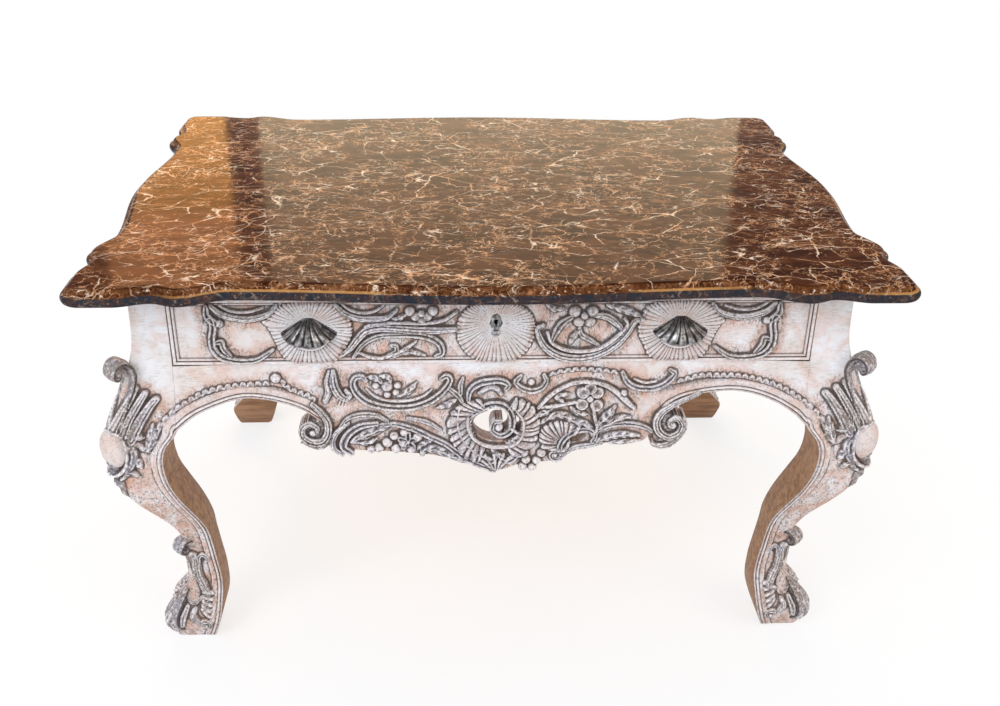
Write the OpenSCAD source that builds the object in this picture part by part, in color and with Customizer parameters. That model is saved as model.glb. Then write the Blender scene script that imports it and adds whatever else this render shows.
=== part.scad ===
// Coffee table: a carved and painted cabriole-leg frame with one frieze drawer
// under a loose, serpentine marble top.
// Origin: middle of the floor under the table. X runs along the front, the front
// faces -Y and Z points up.

/* [Marble top] */
// Length of the marble along the front
top_w = 1020; // [980:4:1080]
// Depth of the marble from front to back
top_d = 756; // [730:2:800]
// Thickness of the marble
top_t = 20; // [18:1:24]
// Radius of the marble's corners
corner_r = 26; // [22:1:32]
// Depth of the hollow between the corner lobe and the belly
notch_depth = 19; // [10:1:24]
// Depth of the dip between the corner lobe and the cusp beside it
dip_depth = 10; // [4:1:12]

/* [Frame] */
// Height of the table over the marble
table_h = 556; // [520:4:620]
// Length of the frame over its posts
frame_w = 890; // [850:2:900]
// Depth of the frame over its posts
frame_d = 638; // [600:2:650]
// Width of the square post at the top of each leg
post_w = 44; // [42:1:48]
// Thickness of the apron boards
board_t = 22; // [20:1:25]
// How far the boards lie behind the post faces
board_set = 2; // [1:0.5:4]
// Thickness of the rail over the drawer
rail_t = 14; // [13:1:18]
// Width of the rail over the drawer, front to back
rail_w = 50; // [44:2:60]
// Height of the board behind the runners, below the drawer opening
end_h = 81; // [76:1:90]

/* [Aprons] */
// Drop of the front apron's pierced centre below the drawer opening
front_drop = 163; // [150:1:170]
// Drop of the arches' crowns below the drawer opening
crown_drop = 48; // [44:1:52]
// Height of the carving over the boards
relief = 9; // [6:0.5:11]

/* [Legs] */
// How far the knee stands out from the post, along each face
knee_out = 40; // [34:1:44]
// Length of the cabochon on the knee
cabochon_h = 50; // [40:1:54]
// Height of the scroll foot's toe
toe_r = 17; // [14:0.5:18]

/* [Drawer] */
// Height of the drawer front
drawer_h = 88; // [84:1:100]
// Length of the drawer from its face to its back
drawer_len = 520; // [440:5:570]
// How far the drawer slides out
drawer_travel = 340; // [250:5:360]
// Thickness of the drawer front
front_t = 22; // [20:1:24]
// Thickness of the drawer's sides and back
side_t = 12; // [10:0.5:13]
// Thickness of the drawer's bottom
bottom_t = 6; // [5:0.5:8]
// Gap round the drawer front
drawer_gap = 1.5; // [1:0.25:2.5]
// Gap between the drawer and what it runs on
run_gap = 0.3; // [0.2:0.05:0.5]

/* [Fittings] */
// Distance of each pull from the middle
pull_x = 230; // [200:2:250]
// Width of a pull's hood
pull_w = 68; // [56:1:72]
// Height of a pull's hood
pull_h = 40; // [34:1:42]
// How far a pull's hood stands out
pull_out = 24; // [20:1:28]
// Width of the lock
lock_w = 50; // [44:1:60]
// Throw of the lock's bolt
bolt_throw = 6; // [4:0.5:7]
// Height of the keyhole
keyhole_h = 13; // [11:0.5:15]

/* [Joinery] */
// Thickness of the tenons
tenon_t = 9; // [7:0.5:10]
// Length of the tenons
tenon_len = 24; // [18:1:26]
// Clearance round glued tenons and dovetails
joint_gap = 0.1; // [0.05:0.05:0.2]
// Shank radius of the wood screws
screw_r = 2; // [1.5:0.25:2.5]

/* [Hidden] */

paint = [0.83, 0.78, 0.70];
carved = [0.62, 0.57, 0.50];
pale_timber = [0.72, 0.56, 0.38];
marble = [0.24, 0.15, 0.11];
dark_brass = [0.35, 0.29, 0.20];
brass = [0.72, 0.58, 0.32];
steel = [0.60, 0.60, 0.62];

frame_top = table_h - top_t;
post_x = frame_w / 2;
post_y = frame_d / 2;
inner_x = post_x - post_w;
inner_y = post_y - post_w;
board_x = post_x - board_set;
board_y = post_y - board_set;
opening_top = frame_top - rail_t;
apron_top = opening_top - drawer_h - 2 * drawer_gap;
end_z = apron_top - end_h;
face_z = apron_top + drawer_gap;
drawer_hw = inner_x - drawer_gap;
drawer_mid = face_z + drawer_h / 2;
key_z = drawer_mid + 12;
side_z0 = apron_top + run_gap;
side_h = drawer_h - 14;
side_y0 = -board_y + front_t - 14;
drawer_y1 = -board_y + drawer_len;
sink = 1;

// Curves

function unit(v) = v / norm(v);

function span(k, x, i = 0) = i >= len(k) - 2 || x <= k[i + 1][0] ? i : span(k, x, i + 1);

// Value at x of a curve whose knots [x, value] are its crests and hollows
function swell(k, x) =
    let (i = span(k, x), t = (x - k[i][0]) / (k[i + 1][0] - k[i][0]))
    k[i][1] + (k[i + 1][1] - k[i][1]) * (1 - cos(180 * t)) / 2;

function slope(k, i) =
    let (a = max(i - 1, 0), b = min(i + 1, len(k) - 1)) (k[b] - k[a]) / (k[b][0] - k[a][0]);

// Row of values at x of a smooth curve through the knots [x, value, value, ...]
function through(k, x) =
    let (
        i = span(k, x), h = k[i + 1][0] - k[i][0], t = (x - k[i][0]) / h,
        t2 = t * t, t3 = t2 * t
    )
    (2 * t3 - 3 * t2 + 1) * k[i] + (t3 - 2 * t2 + t) * h * slope(k, i)
    + (3 * t2 - 2 * t3) * k[i + 1] + (t3 - t2) * h * slope(k, i + 1);

// Point at t between knots i and i + 1 of a smooth path
function path_point(k, i, t) =
    let (a = k[max(i - 1, 0)], b = k[i], c = k[i + 1], d = k[min(i + 2, len(k) - 1)])
    0.5 * (2 * b + (c - a) * t + (2 * a - 5 * b + 4 * c - d) * t * t
    + (3 * b - a - 3 * c + d) * t * t * t);

// Smooth path through the knots, with n points to each span
function smooth(k, n = 4) =
    [for (i = [0:len(k) - 2]) for (j = [0:n - 1]) path_point(k, i, j / n), k[len(k) - 1]];

// Spiral about c from radius r0 at angle a0 to radius r1 at angle a1
function spiral(c, r0, r1, a0, a1, n = 12) =
    [for (i = [0:n]) let (t = i / n, a = a0 + (a1 - a0) * t, r = r0 + (r1 - r0) * t)
        c + r * [cos(a), sin(a)]];

function total(points, i = 0) = i >= len(points) ? [0, 0, 0] : points[i] + total(points, i + 1);

function middle(ring) = total(ring) / len(ring);

// Solid over a row of rings that all have the same number of points
module skin(rings) {
    n = len(rings[0]);
    m = len(rings);
    points = [for (r = rings) each r, middle(rings[0]), middle(rings[m - 1])];
    walls = [for (i = [0:m - 2]) for (j = [0:n - 1])
        let (a = i * n + j, b = i * n + (j + 1) % n) each [[a, b + n, b], [a, a + n, b + n]]];
    ends = [for (j = [0:n - 1])
        let (k = (j + 1) % n) each [[n * m, j, k], [n * m + 1, (m - 1) * n + k, (m - 1) * n + j]]];
    polyhedron(points, concat(walls, ends), convexity = 6);
}

// Carved ridge with a sharp arris along a flat path, thinner at its tips
module ridge(path, w, h = relief, tip = 0.4) {
    n = len(path);
    skin([for (i = [0:n - 1])
        let (
            p = path[i], d = unit(path[min(i + 1, n - 1)] - path[max(i - 1, 0)]),
            s = [d[1], -d[0]], f = tip + (1 - tip) * sin(180 * i / (n - 1)),
            a = s * w / 2 * f, b = h * f
        )
        [
            [p[0] - a[0], p[1] - a[1], -sink],
            [p[0] - 0.2 * a[0], p[1] - 0.2 * a[1], b],
            [p[0] + a[0], p[1] + a[1], -sink]
        ]]);
}

// Scroll end: a spiral ridge round a raised eye
module volute(c, r, from = 0, turn = 300) {
    ridge(spiral(c, r, r * 0.5, from, from + turn, 6), r * 0.5, relief, 0.6);
    translate([c[0], c[1], -sink])
        cylinder(r1 = r * 0.4, r2 = r * 0.25, h = relief + sink, $fn = 6);
}

// Leaf lobe from its base to its tip
module lobe(base, tip, w, h = relief) {
    hull() {
        translate([(base[0] * 2 + tip[0]) / 3, (base[1] * 2 + tip[1]) / 3, -sink])
            cylinder(r1 = w / 2, r2 = w / 5, h = sink + h, $fn = 6);
        translate([tip[0], tip[1], -sink]) cylinder(r = 1.2, h = sink + h * 0.5, $fn = 3);
    }
}

// Flower of lobes round an eye
module flower(c, r, petals = 4) {
    for (i = [0:petals - 1])
        lobe(c, c + r * [cos(90 + 360 * i / petals), sin(90 + 360 * i / petals)], r * 0.7);
    translate([c[0], c[1], 0]) cylinder(r1 = r * 0.35, r2 = r * 0.2, h = relief * 1.1, $fn = 7);
}

// Cluster of berries along a short row
module berries(from, to, r, count = 3) {
    for (i = [0:count - 1])
        let (t = i / (count - 1))
        translate([from[0] + (to[0] - from[0]) * t, from[1] + (to[1] - from[1]) * t, -sink])
            cylinder(r1 = r, r2 = r * 0.5, h = sink + r, $fn = 8);
}

// Rayed shell whose rays end in scallops; hole clears a way through its middle
module rayed_shell(w, h, rays, hub, hole = 0) {
    n = rays * 2;
    rim = function (i) let (a = 360 * i / n, k = i % 2 == 0 ? 1 : 0.9)
        [w / 2 * k * cos(a), h / 2 * k * sin(a)];
    at = function (i, f, z) [rim(i)[0] * f, rim(i)[1] * f, z];
    flute = function (i, z) i % 2 == 0 ? z : z * 0.35;
    difference() {
        skin([
            [for (i = [0:n - 1]) at(i, 1, -sink)],
            [for (i = [0:n - 1]) at(i, 1, flute(i, relief * 0.55))],
            [for (i = [0:n - 1]) at(i, 0.82, flute(i, relief * 0.8))],
            [for (i = [0:n - 1]) at(i, hub, relief * 0.3)]
        ]);
        if (hole > 0) translate([0, 0, -2 * sink]) cylinder(r = hole, h = relief * 3, $fn = 24);
    }
}

// Puts what is drawn in X (along) and Y (up) on a face turned by the angle
module on_face(distance, turn = 0) {
    rotate([0, 0, turn]) translate([0, -distance, 0]) rotate([90, 0, 0]) children();
}

module at_corners() {
    for (mx = [0, 1]) for (my = [0, 1])
        mirror([mx, 0, 0]) mirror([0, my, 0]) children();
}

module both_sides() {
    children();
    mirror([1, 0, 0]) children();
}

// Wood screw along +Z: its head lies below the origin
module wood_screw(length, r = screw_r) {
    translate([0, 0, -r]) cylinder(r = 2 * r, h = r, $fn = 24);
    translate([0, 0, -r]) cylinder(r = r, h = length + r, $fn = 24);
}

// Marble top

// Knots along a side from its corner: lobe, dip, cusp, notch and belly
function edge_knots(half) =
    [[0, 0], [62, 0], [105, -dip_depth], [136, 0], [195, -notch_depth], [half, -2]];

// Distances from the corner at which a side is drawn
function edge_steps(half) =
    let (k = edge_knots(half), parts = [1, 2, 3, 3, 3])
    [for (i = [0:4]) let (a = max(k[i][0], corner_r), b = k[i + 1][0])
        for (j = [0:parts[i] - 1]) a + (b - a) * j / parts[i]];

// One side of the outline, from one corner's round to the next, inset by d
function edge_side(half, reach, d) =
    let (u = edge_steps(half), k = edge_knots(half), n = len(u))
    concat(
        [for (i = [0:n - 1]) [-half + u[i], -(reach + swell(k, u[i]) - d)]],
        [[0, -(reach + swell(k, half) - d)]],
        [for (i = [n - 1:-1:0]) [half - u[i], -(reach + swell(k, u[i]) - d)]]
    );

function corner_arc(d) =
    [for (a = [-67.5, -45, -22.5]) [top_w / 2 - corner_r + (corner_r - d) * cos(a),
        -top_d / 2 + corner_r + (corner_r - d) * sin(a)]];

function turned(p, a) = [p[0] * cos(a) - p[1] * sin(a), p[0] * sin(a) + p[1] * cos(a)];

function top_outline(d) =
    let (
        front = edge_side(top_w / 2, top_d / 2, d), side = edge_side(top_d / 2, top_w / 2, d),
        half = concat(front, corner_arc(d), [for (p = side) turned(p, 90)],
            [for (i = [2:-1:0]) let (p = corner_arc(d)[i]) [p[0], -p[1]]])
    )
    concat(half, [for (p = half) -p]);

// Edge moulding: [inset, share of the thickness], a quirk and step over a bullnose
edge_profile = [[5, 0], [0, 0.34], [1.6, 0.58], [7, 0.68], [9, 0.86], [12.5, 1]];

module marble_top() {
    color(marble)
        skin([for (e = edge_profile)
            [for (p = top_outline(e[0])) [p[0], p[1], frame_top + e[1] * top_t]]]);
}

// Legs

// Leg curve: height as a share of the drawer opening's, then how far out the corner
// is as a share of the knee, how far in the inner edge is, and the inner edge's bow
leg_curve = [
    [0.000, 0.00, -10, 0.00], [0.035, 0.12, -16, 0.12], [0.081, 0.20, -22, 0.20],
    [0.116, -0.05, -24, -0.05], [0.162, -0.50, -24, -0.50], [0.209, -0.60, -23, -0.60],
    [0.278, -0.55, -20, -0.55], [0.348, -0.48, -17, -0.48], [0.406, -0.28, -15, -0.28],
    [0.464, 0.03, -10, 0.03], [0.522, 0.38, -3, 0.38], [0.580, 0.68, 5, 0.68],
    [0.650, 0.90, 14, 0.88], [0.720, 1.00, 17, 0.96], [0.770, 1.00, 13, 0.86],
    [0.811, 0.93, 0, 0.60], [0.858, 0.80, 0, 0.36], [0.940, 0.48, 0, 0.10],
    [1.020, 0.18, 0, 0.02], [1.090, 0.04, 0, 0.00]
];

// Section of the leg at a share of the opening's height: rounded corner, moulded edges
function leg_ring(s) =
    let (
        v = through(leg_curve, s), o = v[1] * knee_out, e = v[3] * knee_out,
        x1 = inner_x + (s >= end_z / apron_top - 0.001 ? 0 : v[2]),
        y1 = inner_y + (s >= end_z / apron_top - 0.001 ? 0 : v[2]),
        px = post_x + o, py = post_y + o, ex = post_x + e, ey = post_y + e,
        r = s > 1 ? 3 : 9, c = s > 0.78 ? 3 : 9, b = s > 0.9 ? 0 : 2, z = s * apron_top
    )
    [
        [ex, y1, z], [ex + b, y1 + 3, z], [ex, y1 + 6, z],
        [px, py - r, z], [px - 0.3 * r, py - 0.3 * r, z], [px - r, py, z],
        [x1 + 6, ey, z], [x1 + 3, ey + b, z], [x1, ey, z],
        [x1, y1 + c, z], [x1 + c, y1, z]
    ];

leg_steps = [0, 0.04, 0.08, 0.12, 0.18, 0.26, 0.34, 0.4, 0.46, 0.52, 0.58, 0.65, 0.72, 0.77,
    0.811, 0.87, 0.95, 1.09];

// Puts what is drawn along X (outwards) and Z on the leg's corner line
module on_corner(s, out = 0) {
    o = through(leg_curve, s)[1] * knee_out + out;
    translate([post_x + o, post_y + o, s * apron_top]) rotate([0, 0, 45]) children();
}

// Scroll rolled across the leg's corner
module roll(r, w) {
    hull() for (m = [0, 1]) rotate([90, 0, 0]) mirror([0, 0, m])
        cylinder(r1 = r, r2 = r * 0.7, h = w / 2, $fn = 8);
}

// Leaf that lies along the corner between two heights
module corner_leaf(s0, s1, w, proud, aside = 0) {
    back = -2 - abs(aside) * 0.5;
    hull() {
        on_corner(s0, back) translate([0, aside, 0]) rotate([0, 90, 0])
            cylinder(r = w / 2, h = proud, $fn = 6, center = true);
        on_corner((s0 + s1) / 2, back + 1) translate([0, aside, 0]) rotate([0, 90, 0])
            cylinder(r = w / 3, h = proud * 1.4, $fn = 6, center = true);
        on_corner(s1, back + 1) translate([0, aside, 0]) rotate([0, 90, 0])
            cylinder(r = 2, h = proud, $fn = 4, center = true);
    }
}

module leg() {
    color(paint) difference() {
        union() {
            skin(concat([for (s = leg_steps) leg_ring(s)],
                [[for (p = leg_ring(1.09)) [p[0], p[1], frame_top]]]));
            // Ear volute at the head of the knee
            on_corner(1.015, 7) roll(11, 52);
            hull() {
                on_corner(1.015, 7) rotate([90, 0, 0]) cylinder(r = 8, h = 34, center = true, $fn = 10);
                on_corner(1.12, -7) rotate([90, 0, 0]) cylinder(r = 5, h = 28, center = true, $fn = 8);
            }
            // Cabochon in its rolled frame
            on_corner(0.785, -4) scale([12, 22, cabochon_h / 2]) sphere(r = 1, $fn = 8);
            on_corner(0.785, -6) rotate([90, 0, 90])
                ridge([for (a = [0:60:360]) [25 * sin(a), (cabochon_h / 2 + 8) * cos(a)]], 9, 7, 1);
            // Acanthus over and under the cabochon
            corner_leaf(0.72, 0.55, 40, 9);
            corner_leaf(0.9, 0.98, 34, 9);
            for (t = [-1, 1]) corner_leaf(0.7, 0.6, 20, 8, t * 17);
            // Small scroll at the ankle
            on_corner(0.31, 3) roll(8, 30);
            on_corner(0.25, 0) roll(6, 30);
            // Toe scroll, its eye and the pad under it
            translate([post_x - 11, post_y - 11, toe_r + 14]) rotate([0, 0, 45]) {
                roll(toe_r, 44);
                translate([-6, 0, 24]) scale([12, 17, 15]) sphere(r = 1, $fn = 7);
            }
        }
        leg_mortises();
        translate([0, 0, -50]) cube([top_w, top_d, 50]);
    }
}

// Mortises for the tenons of the boards and the rail, in the corner at +X +Y
module leg_mortises() {
    g = joint_gap;
    translate([inner_x - 1, board_y - (board_t + tenon_t) / 2 - g, end_z + 8 - g])
        cube([tenon_len + 1 + g, tenon_t + 2 * g, tenon_z1() - end_z - 8 + 2 * g]);
    translate([board_x - (board_t + tenon_t) / 2 - g, inner_y - 1, end_z + 8 - g])
        cube([tenon_t + 2 * g, tenon_len + 1 + g, frame_top - 12 - end_z - 8 + 2 * g]);
}

function tenon_z1() = apron_top - 8;

// Mortises that only a front leg has: the dovetail of the rail over the drawer
module rail_socket() {
    g = joint_gap;
    translate([0, 0, opening_top - g]) linear_extrude(rail_t + 1) rail_tail(g);
}

// Dovetail at the rail's end, in the corner at +X +Y
module rail_tail(g = 0) {
    polygon([
        [inner_x - 2, board_y - 10 + g], [inner_x + 20 + g, board_y - 6 + g],
        [inner_x + 20 + g, board_y - 26 - g], [inner_x - 2, board_y - 22 - g]
    ]);
}

// Mortise that only a rear leg has: the back board's tenon goes up to the marble
module back_mortise() {
    g = joint_gap;
    translate([inner_x - 1, board_y - (board_t + tenon_t) / 2 - g, end_z + 8 - g])
        cube([tenon_len + 1 + g, tenon_t + 2 * g, frame_top - 12 - end_z - 8 + 2 * g]);
}

module front_leg() {
    color(paint) difference() {
        leg();
        rail_socket();
    }
}

module rear_leg() {
    color(paint) difference() {
        leg();
        back_mortise();
    }
}

module leg_front_left() {
    mirror([1, 0, 0]) mirror([0, 1, 0]) front_leg();
}

module leg_front_right() {
    mirror([0, 1, 0]) front_leg();
}

module leg_rear_left() {
    mirror([1, 0, 0]) rear_leg();
}

module leg_rear_right() {
    rear_leg();
}

// Aprons, drawn on their faces with Y up from the drawer opening's lower edge

// Lower edge of an arch from the post inwards, for a board whose half length is given
function arch(half) = [
    [-half, -end_h], [-half + 18, -end_h + 13], [-half + 39, -end_h + 22],
    [-half + 80, -crown_drop], [-half + 116, -crown_drop - 3], [-half + 151, -crown_drop - 15],
    [-half + 173, -crown_drop - 31], [-half + 181, -crown_drop - 45]
];

// Lower edge of the front's carved centre, from the left volute to the right one
front_centre = [
    [-inner_x + 165, -108], [-inner_x + 189, -128], [-170, -130], [-126, -135], [-78, -139],
    [-36, -150], [4, -front_drop], [40, -152], [80, -150], [108, -132], [152, -122],
    [inner_x - 196, -118], [inner_x - 167, -106]
];

// Lower edge of a plain centre with the drop given
function plain_centre(half, drop) = [
    [-half + 168, -110], [-half + 200, -118], [-30, -drop + 8], [0, -drop], [30, -drop + 8],
    [half - 200, -118], [half - 168, -110]
];

// Outline of a board between the posts: two arches, the centre and its upper edge
module board_outline(half, centre, top) {
    right = [for (p = arch(half)) [-p[0], p[1]]];
    edge = smooth(concat(arch(half), centre, [for (i = [len(right) - 1:-1:0]) right[i]]), 2);
    polygon(concat(edge, [[half, top], [-half, top]]));
}

// How far from the posts the rim starts, and from the board's edge
rim_inset = 16;
rim_quirk = 1;

// Moulded rim along the lower edge of the outline given as the child
module lower_rim(half, w = 6, h = relief * 0.55) {
    translate([0, 0, -sink]) linear_extrude(sink + h) intersection() {
        difference() {
            offset(delta = -rim_quirk) children();
            offset(delta = -w) children();
        }
        translate([-half + rim_inset, -front_drop - 1])
            square([2 * (half - rim_inset), front_drop - 20]);
    }
}

// Tenons on a board's ends, in the board's face drawing
module board_tenons(half, top) {
    for (s = [-1, 1])
        translate([s > 0 ? half - 1 : -half - tenon_len, -end_h + 8, -(board_t + tenon_t) / 2])
            cube([tenon_len + 1, top + end_h - 8, tenon_t]);
}

// Height of the brace screws, from the drawer opening
brace_z = -36;

// Pilot hole for a wood screw, from the back of a board whose face is at 0
module pilot() {
    translate([0, 0, -board_t - 1])
        cylinder(r = (screw_r + joint_gap) / cos(180 / 8), h = 15, $fn = 8);
}

// Pilot holes for the screws of the corner braces
module brace_pilots(half) {
    for (s = [-1, 1]) translate([s * (half - 34), brace_z, 0]) pilot();
}

// Openings pierced through the centre of the front apron
module pierced_openings() {
    translate([4, -91]) scale([1.55, 1]) circle(r = 20, $fn = 16);
    translate([105, -112]) rotate(20) scale([1.5, 1]) circle(r = 6.5, $fn = 10);
}

// Scroll that curls into the pierced opening
module pierced_scroll() {
    translate([0, 0, -board_t]) linear_extrude(board_t + relief / 2) {
        translate([3, -97]) circle(r = 8, $fn = 12);
        hull() for (q = [[24, -107], [3, -100]]) translate(q) circle(r = 3.4, $fn = 6);
        hull() for (q = [[3, -114], [3, -99]]) translate(q) circle(r = 3.4, $fn = 6);
    }
}

module front_carving() {
    both_sides() {
        ridge([for (p = arch(inner_x)) p + [4, 21]], 6, relief * 0.5, 0.7);
        volute([-inner_x + 168, -98], 13, 60, 300);
    }
    // Scrolls under the drawer, left of the middle
    ridge(smooth([[-168, -22], [-113, -63], [-59, -23]], 3), 9);
    flower([-120, -40], 15);
    volute([-30, -42], 11, 200, 300);
    // Scrolls under the drawer, right of the middle
    ridge(smooth([[24, -24], [43, -42], [64, -22]], 2), 7);
    ridge(smooth([[57, -60], [80, -36], [108, -30], [138, -38], [156, -62]], 2), 8);
    flower([113, -58], 17);
    ridge(smooth([[154, -21], [185, -39], [213, -21]], 2), 8);
    // Rocaille round the pierced centre
    ridge(spiral([4, -91], 39, 39, 185, 505, 10), 10, relief * 1.2, 0.7);
    for (a = [210:30:330]) let (d = [cos(a), sin(a)])
        lobe([4, -91] + 38 * d, [4, -91] + [56 * d[0], 66 * d[1]], 14, relief * 0.8);
    // Leafage along the lower edge
    ridge(smooth([[-222, -112], [-184, -92], [-150, -84], [-110, -98]], 2), 10);
    berries([-142, -122], [-98, -126], 8);
    lobe([-90, -124], [-44, -138], 14);
    volute([82, -138], 10, 90, 300);
    lobe([126, -110], [176, -98], 13);
    ridge(smooth([[150, -106], [186, -92], [228, -104]], 2), 9);
}

module front_apron() {
    color(paint) translate([0, 0, apron_top]) on_face(board_y) difference() {
        union() {
            translate([0, 0, -board_t]) linear_extrude(board_t) difference() {
                board_outline(inner_x, front_centre, 0);
                pierced_openings();
            }
            lower_rim(inner_x) board_outline(inner_x, front_centre, 0);
            pierced_scroll();
            front_carving();
            board_tenons(inner_x, -8);
        }
        brace_pilots(inner_x);
    }
}

// Moulded frame of a frieze panel between two heights
module panel_frame(half, z0, z1) {
    for (f = [[0, 3.5, 3], [5, 2, 1.6]])
        translate([0, 0, -sink]) linear_extrude(sink + f[2]) difference() {
            translate([-half + f[0], z0 + f[0]]) square([2 * (half - f[0]), z1 - z0 - 2 * f[0]]);
            translate([-half + f[0] + f[1], z0 + f[0] + f[1]])
                square([2 * (half - f[0] - f[1]), z1 - z0 - 2 * (f[0] + f[1])]);
        }
}

module side_carving(half) {
    translate([0, drawer_gap + drawer_h / 2]) rayed_shell(96, 76, 12, 0.35);
    both_sides() {
        volute([-half + 168, -98], 13, 60, 300);
    }
    flower([0, -36], 17);
    ridge(spiral([0, -92], 22, 22, 180, 540, 10), 9, relief, 0.8);
    for (a = [210:40:330]) let (d = [cos(a), sin(a)])
        lobe([0, -92] + 22 * d, [0, -92] + 38 * d, 14, relief * 0.8);
}

// Places of the runner and kicker screws along the side boards
runner_holes = [-inner_y + 90, 0, inner_y - 90];

// Frieze and apron of one side or the back, in one board between the posts
module panel_board(half, drop) {
    top = frame_top - apron_top;
    difference() {
        union() {
            translate([0, 0, -board_t]) linear_extrude(board_t)
                board_outline(half, plain_centre(half, drop), top);
            lower_rim(half) board_outline(half, plain_centre(half, drop), top);
            panel_frame(half - 3, drawer_gap + 1, drawer_gap + drawer_h - 1);
            board_tenons(half, top - 12);
            children();
        }
        brace_pilots(half);
    }
}

module side_apron() {
    color(paint) translate([0, 0, apron_top]) on_face(board_x, 90) difference() {
        panel_board(inner_y, front_drop - 25) side_carving(inner_y);
        for (y = runner_holes) for (z = [-runner_t / 2, kicker_z - apron_top])
            translate([y, z, 0]) pilot();
    }
}

module side_apron_left() {
    mirror([1, 0, 0]) side_apron();
}

module side_apron_right() {
    side_apron();
}

module back_apron() {
    color(paint) translate([0, 0, apron_top]) on_face(board_y, 180)
        panel_board(inner_x, crown_drop + 62);
}

// Rails and runners

// Rail over the drawer, dovetailed into the tops of the front posts
module front_rail() {
    color(paint) difference() {
        union() {
            translate([-inner_x, -board_y, opening_top])
                cube([2 * inner_x, rail_w, rail_t]);
            both_sides() intersection() {
                translate([0, 0, opening_top]) mirror([0, 1, 0]) linear_extrude(rail_t) rail_tail();
                translate([inner_x - 0.5, -board_y, opening_top]) cube([30, rail_w, rail_t]);
            }
        }
        translate([0, bolt_y(), opening_top]) translate([-strike_w / 2, -strike_d / 2, -1])
            cube([strike_w, strike_d, 1 + strike_t]);
        translate([-bolt_w / 2 - 1, bolt_y() - bolt_t / 2 - 1, opening_top - 1])
            cube([bolt_w + 2, bolt_t + 2, bolt_throw + 5]);
        for (s = [-1, 1]) translate([s * (strike_w / 2 - 5), bolt_y(), opening_top + strike_t])
            cylinder(r = 1.2, h = 8, $fn = 20);
    }
}

strike_w = 42;
strike_d = 12;
strike_t = 1.5;

// Brass plate that the bolt passes into
module strike_plate() {
    color(brass) difference() {
        translate([-strike_w / 2 + 0.1, bolt_y() - strike_d / 2 + 0.1, opening_top])
            cube([strike_w - 0.2, strike_d - 0.2, strike_t]);
        translate([-bolt_w / 2 - 0.5, bolt_y() - bolt_t / 2 - 0.5, opening_top - 1])
            cube([bolt_w + 1, bolt_t + 1, strike_t + 2]);
        for (s = [-1, 1]) translate([s * (strike_w / 2 - 5), bolt_y(), opening_top - 1])
            cylinder(r = 1.3, h = strike_t + 2, $fn = 20);
    }
}

module strike_screws() {
    color(brass) for (s = [-1, 1]) translate([s * (strike_w / 2 - 5), bolt_y(), opening_top]) {
        cylinder(r = 1.2, h = 9, $fn = 20);
        translate([0, 0, -0.8]) cylinder(r = 2.2, h = 0.8, $fn = 20);
    }
}

rail_depth = 60;
bearer_w = 40;
runner_w = 41;
runner_t = 20;
guide_h = 24;

// Flat rail behind the front apron, level with the drawer opening's lower edge
module drawer_rail() {
    color(pale_timber)
        translate([-inner_x, -board_y + board_t, apron_top - runner_t])
        cube([2 * inner_x, rail_depth, runner_t]);
}

function runner_y0() = -board_y + board_t + rail_depth;

// Holes for the screws that go through a runner or kicker at the height given
module runner_bores(z) {
    for (y = runner_holes) translate([board_x - board_t - runner_w, y, z]) rotate([0, 90, 0]) {
        translate([0, 0, -1]) cylinder(r = 2 * screw_r + 1, h = 1 + runner_w - 14, $fn = 24);
        cylinder(r = screw_r + joint_gap, h = runner_w + 1, $fn = 24);
    }
}

// Bar along the right side board from y0 to the back board, notched round the post
module side_bar(y0, z0, h) {
    x0 = board_x - board_t - runner_w;
    translate([0, 0, z0]) linear_extrude(h) polygon([
        [x0, y0], [board_x - board_t, y0], [board_x - board_t, inner_y], [inner_x, inner_y],
        [inner_x, board_y - board_t], [x0, board_y - board_t]
    ]);
}

// Runner, screwed to the inside of the right side board
module runner() {
    color(pale_timber) difference() {
        side_bar(runner_y0(), apron_top - runner_t, runner_t);
        runner_bores(apron_top - runner_t / 2);
    }
}

module runner_right() {
    runner();
}

module runner_left() {
    mirror([1, 0, 0]) runner();
}

// Strip glued on the runner that keeps the drawer straight
module guide() {
    guide_w = board_x - board_t - drawer_hw - run_gap;
    color(pale_timber) translate([board_x - board_t - guide_w, -inner_y, apron_top])
        cube([guide_w, 2 * inner_y, guide_h]);
}

module guide_right() {
    guide();
}

module guide_left() {
    mirror([1, 0, 0]) guide();
}

bearer_t = 12;
kicker_z0 = side_z0 + side_h + 1.5;
kicker_z1 = frame_top - bearer_t;
kicker_z = (kicker_z0 + kicker_z1) / 2;

// Rail over the drawer's side that stops the drawer tipping when it is out
module kicker() {
    color(pale_timber) difference() {
        side_bar(-board_y + rail_w, kicker_z0, kicker_z1 - kicker_z0);
        runner_bores(kicker_z);
    }
}

module kicker_right() {
    kicker();
}

module kicker_left() {
    mirror([1, 0, 0]) kicker();
}

// Screws that hold the runners and kickers to the side boards
module runner_screws() {
    x1 = board_x - board_t;
    color(steel) both_sides() for (y = runner_holes) for (z = [apron_top - runner_t / 2, kicker_z])
        translate([x1 - 14, y, z]) rotate([0, 90, 0]) wood_screw(26);
}

// Two battens from front to back that carry the marble's middle
module marble_bearers() {
    color(pale_timber) for (s = [-1, 1]) difference() {
        translate([s * inner_x / 3 - bearer_w / 2, -board_y + rail_w, frame_top - bearer_t])
            cube([bearer_w, 2 * board_y - rail_w - board_t, bearer_t]);
        translate([s * inner_x / 3, stop_y() - stop_d / 2, frame_top - bearer_t - 1])
            cylinder(r = screw_r + joint_gap, h = 10, $fn = 24);
    }
}

stop_w = 24;
stop_d = 30;
stop_z0 = side_z0 + side_h - 16;
stop_bore = 14;

// Line that the drawer's back reaches when the drawer is out
function stop_y() = drawer_y1 - side_t - 6 - drawer_travel - run_gap;

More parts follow.
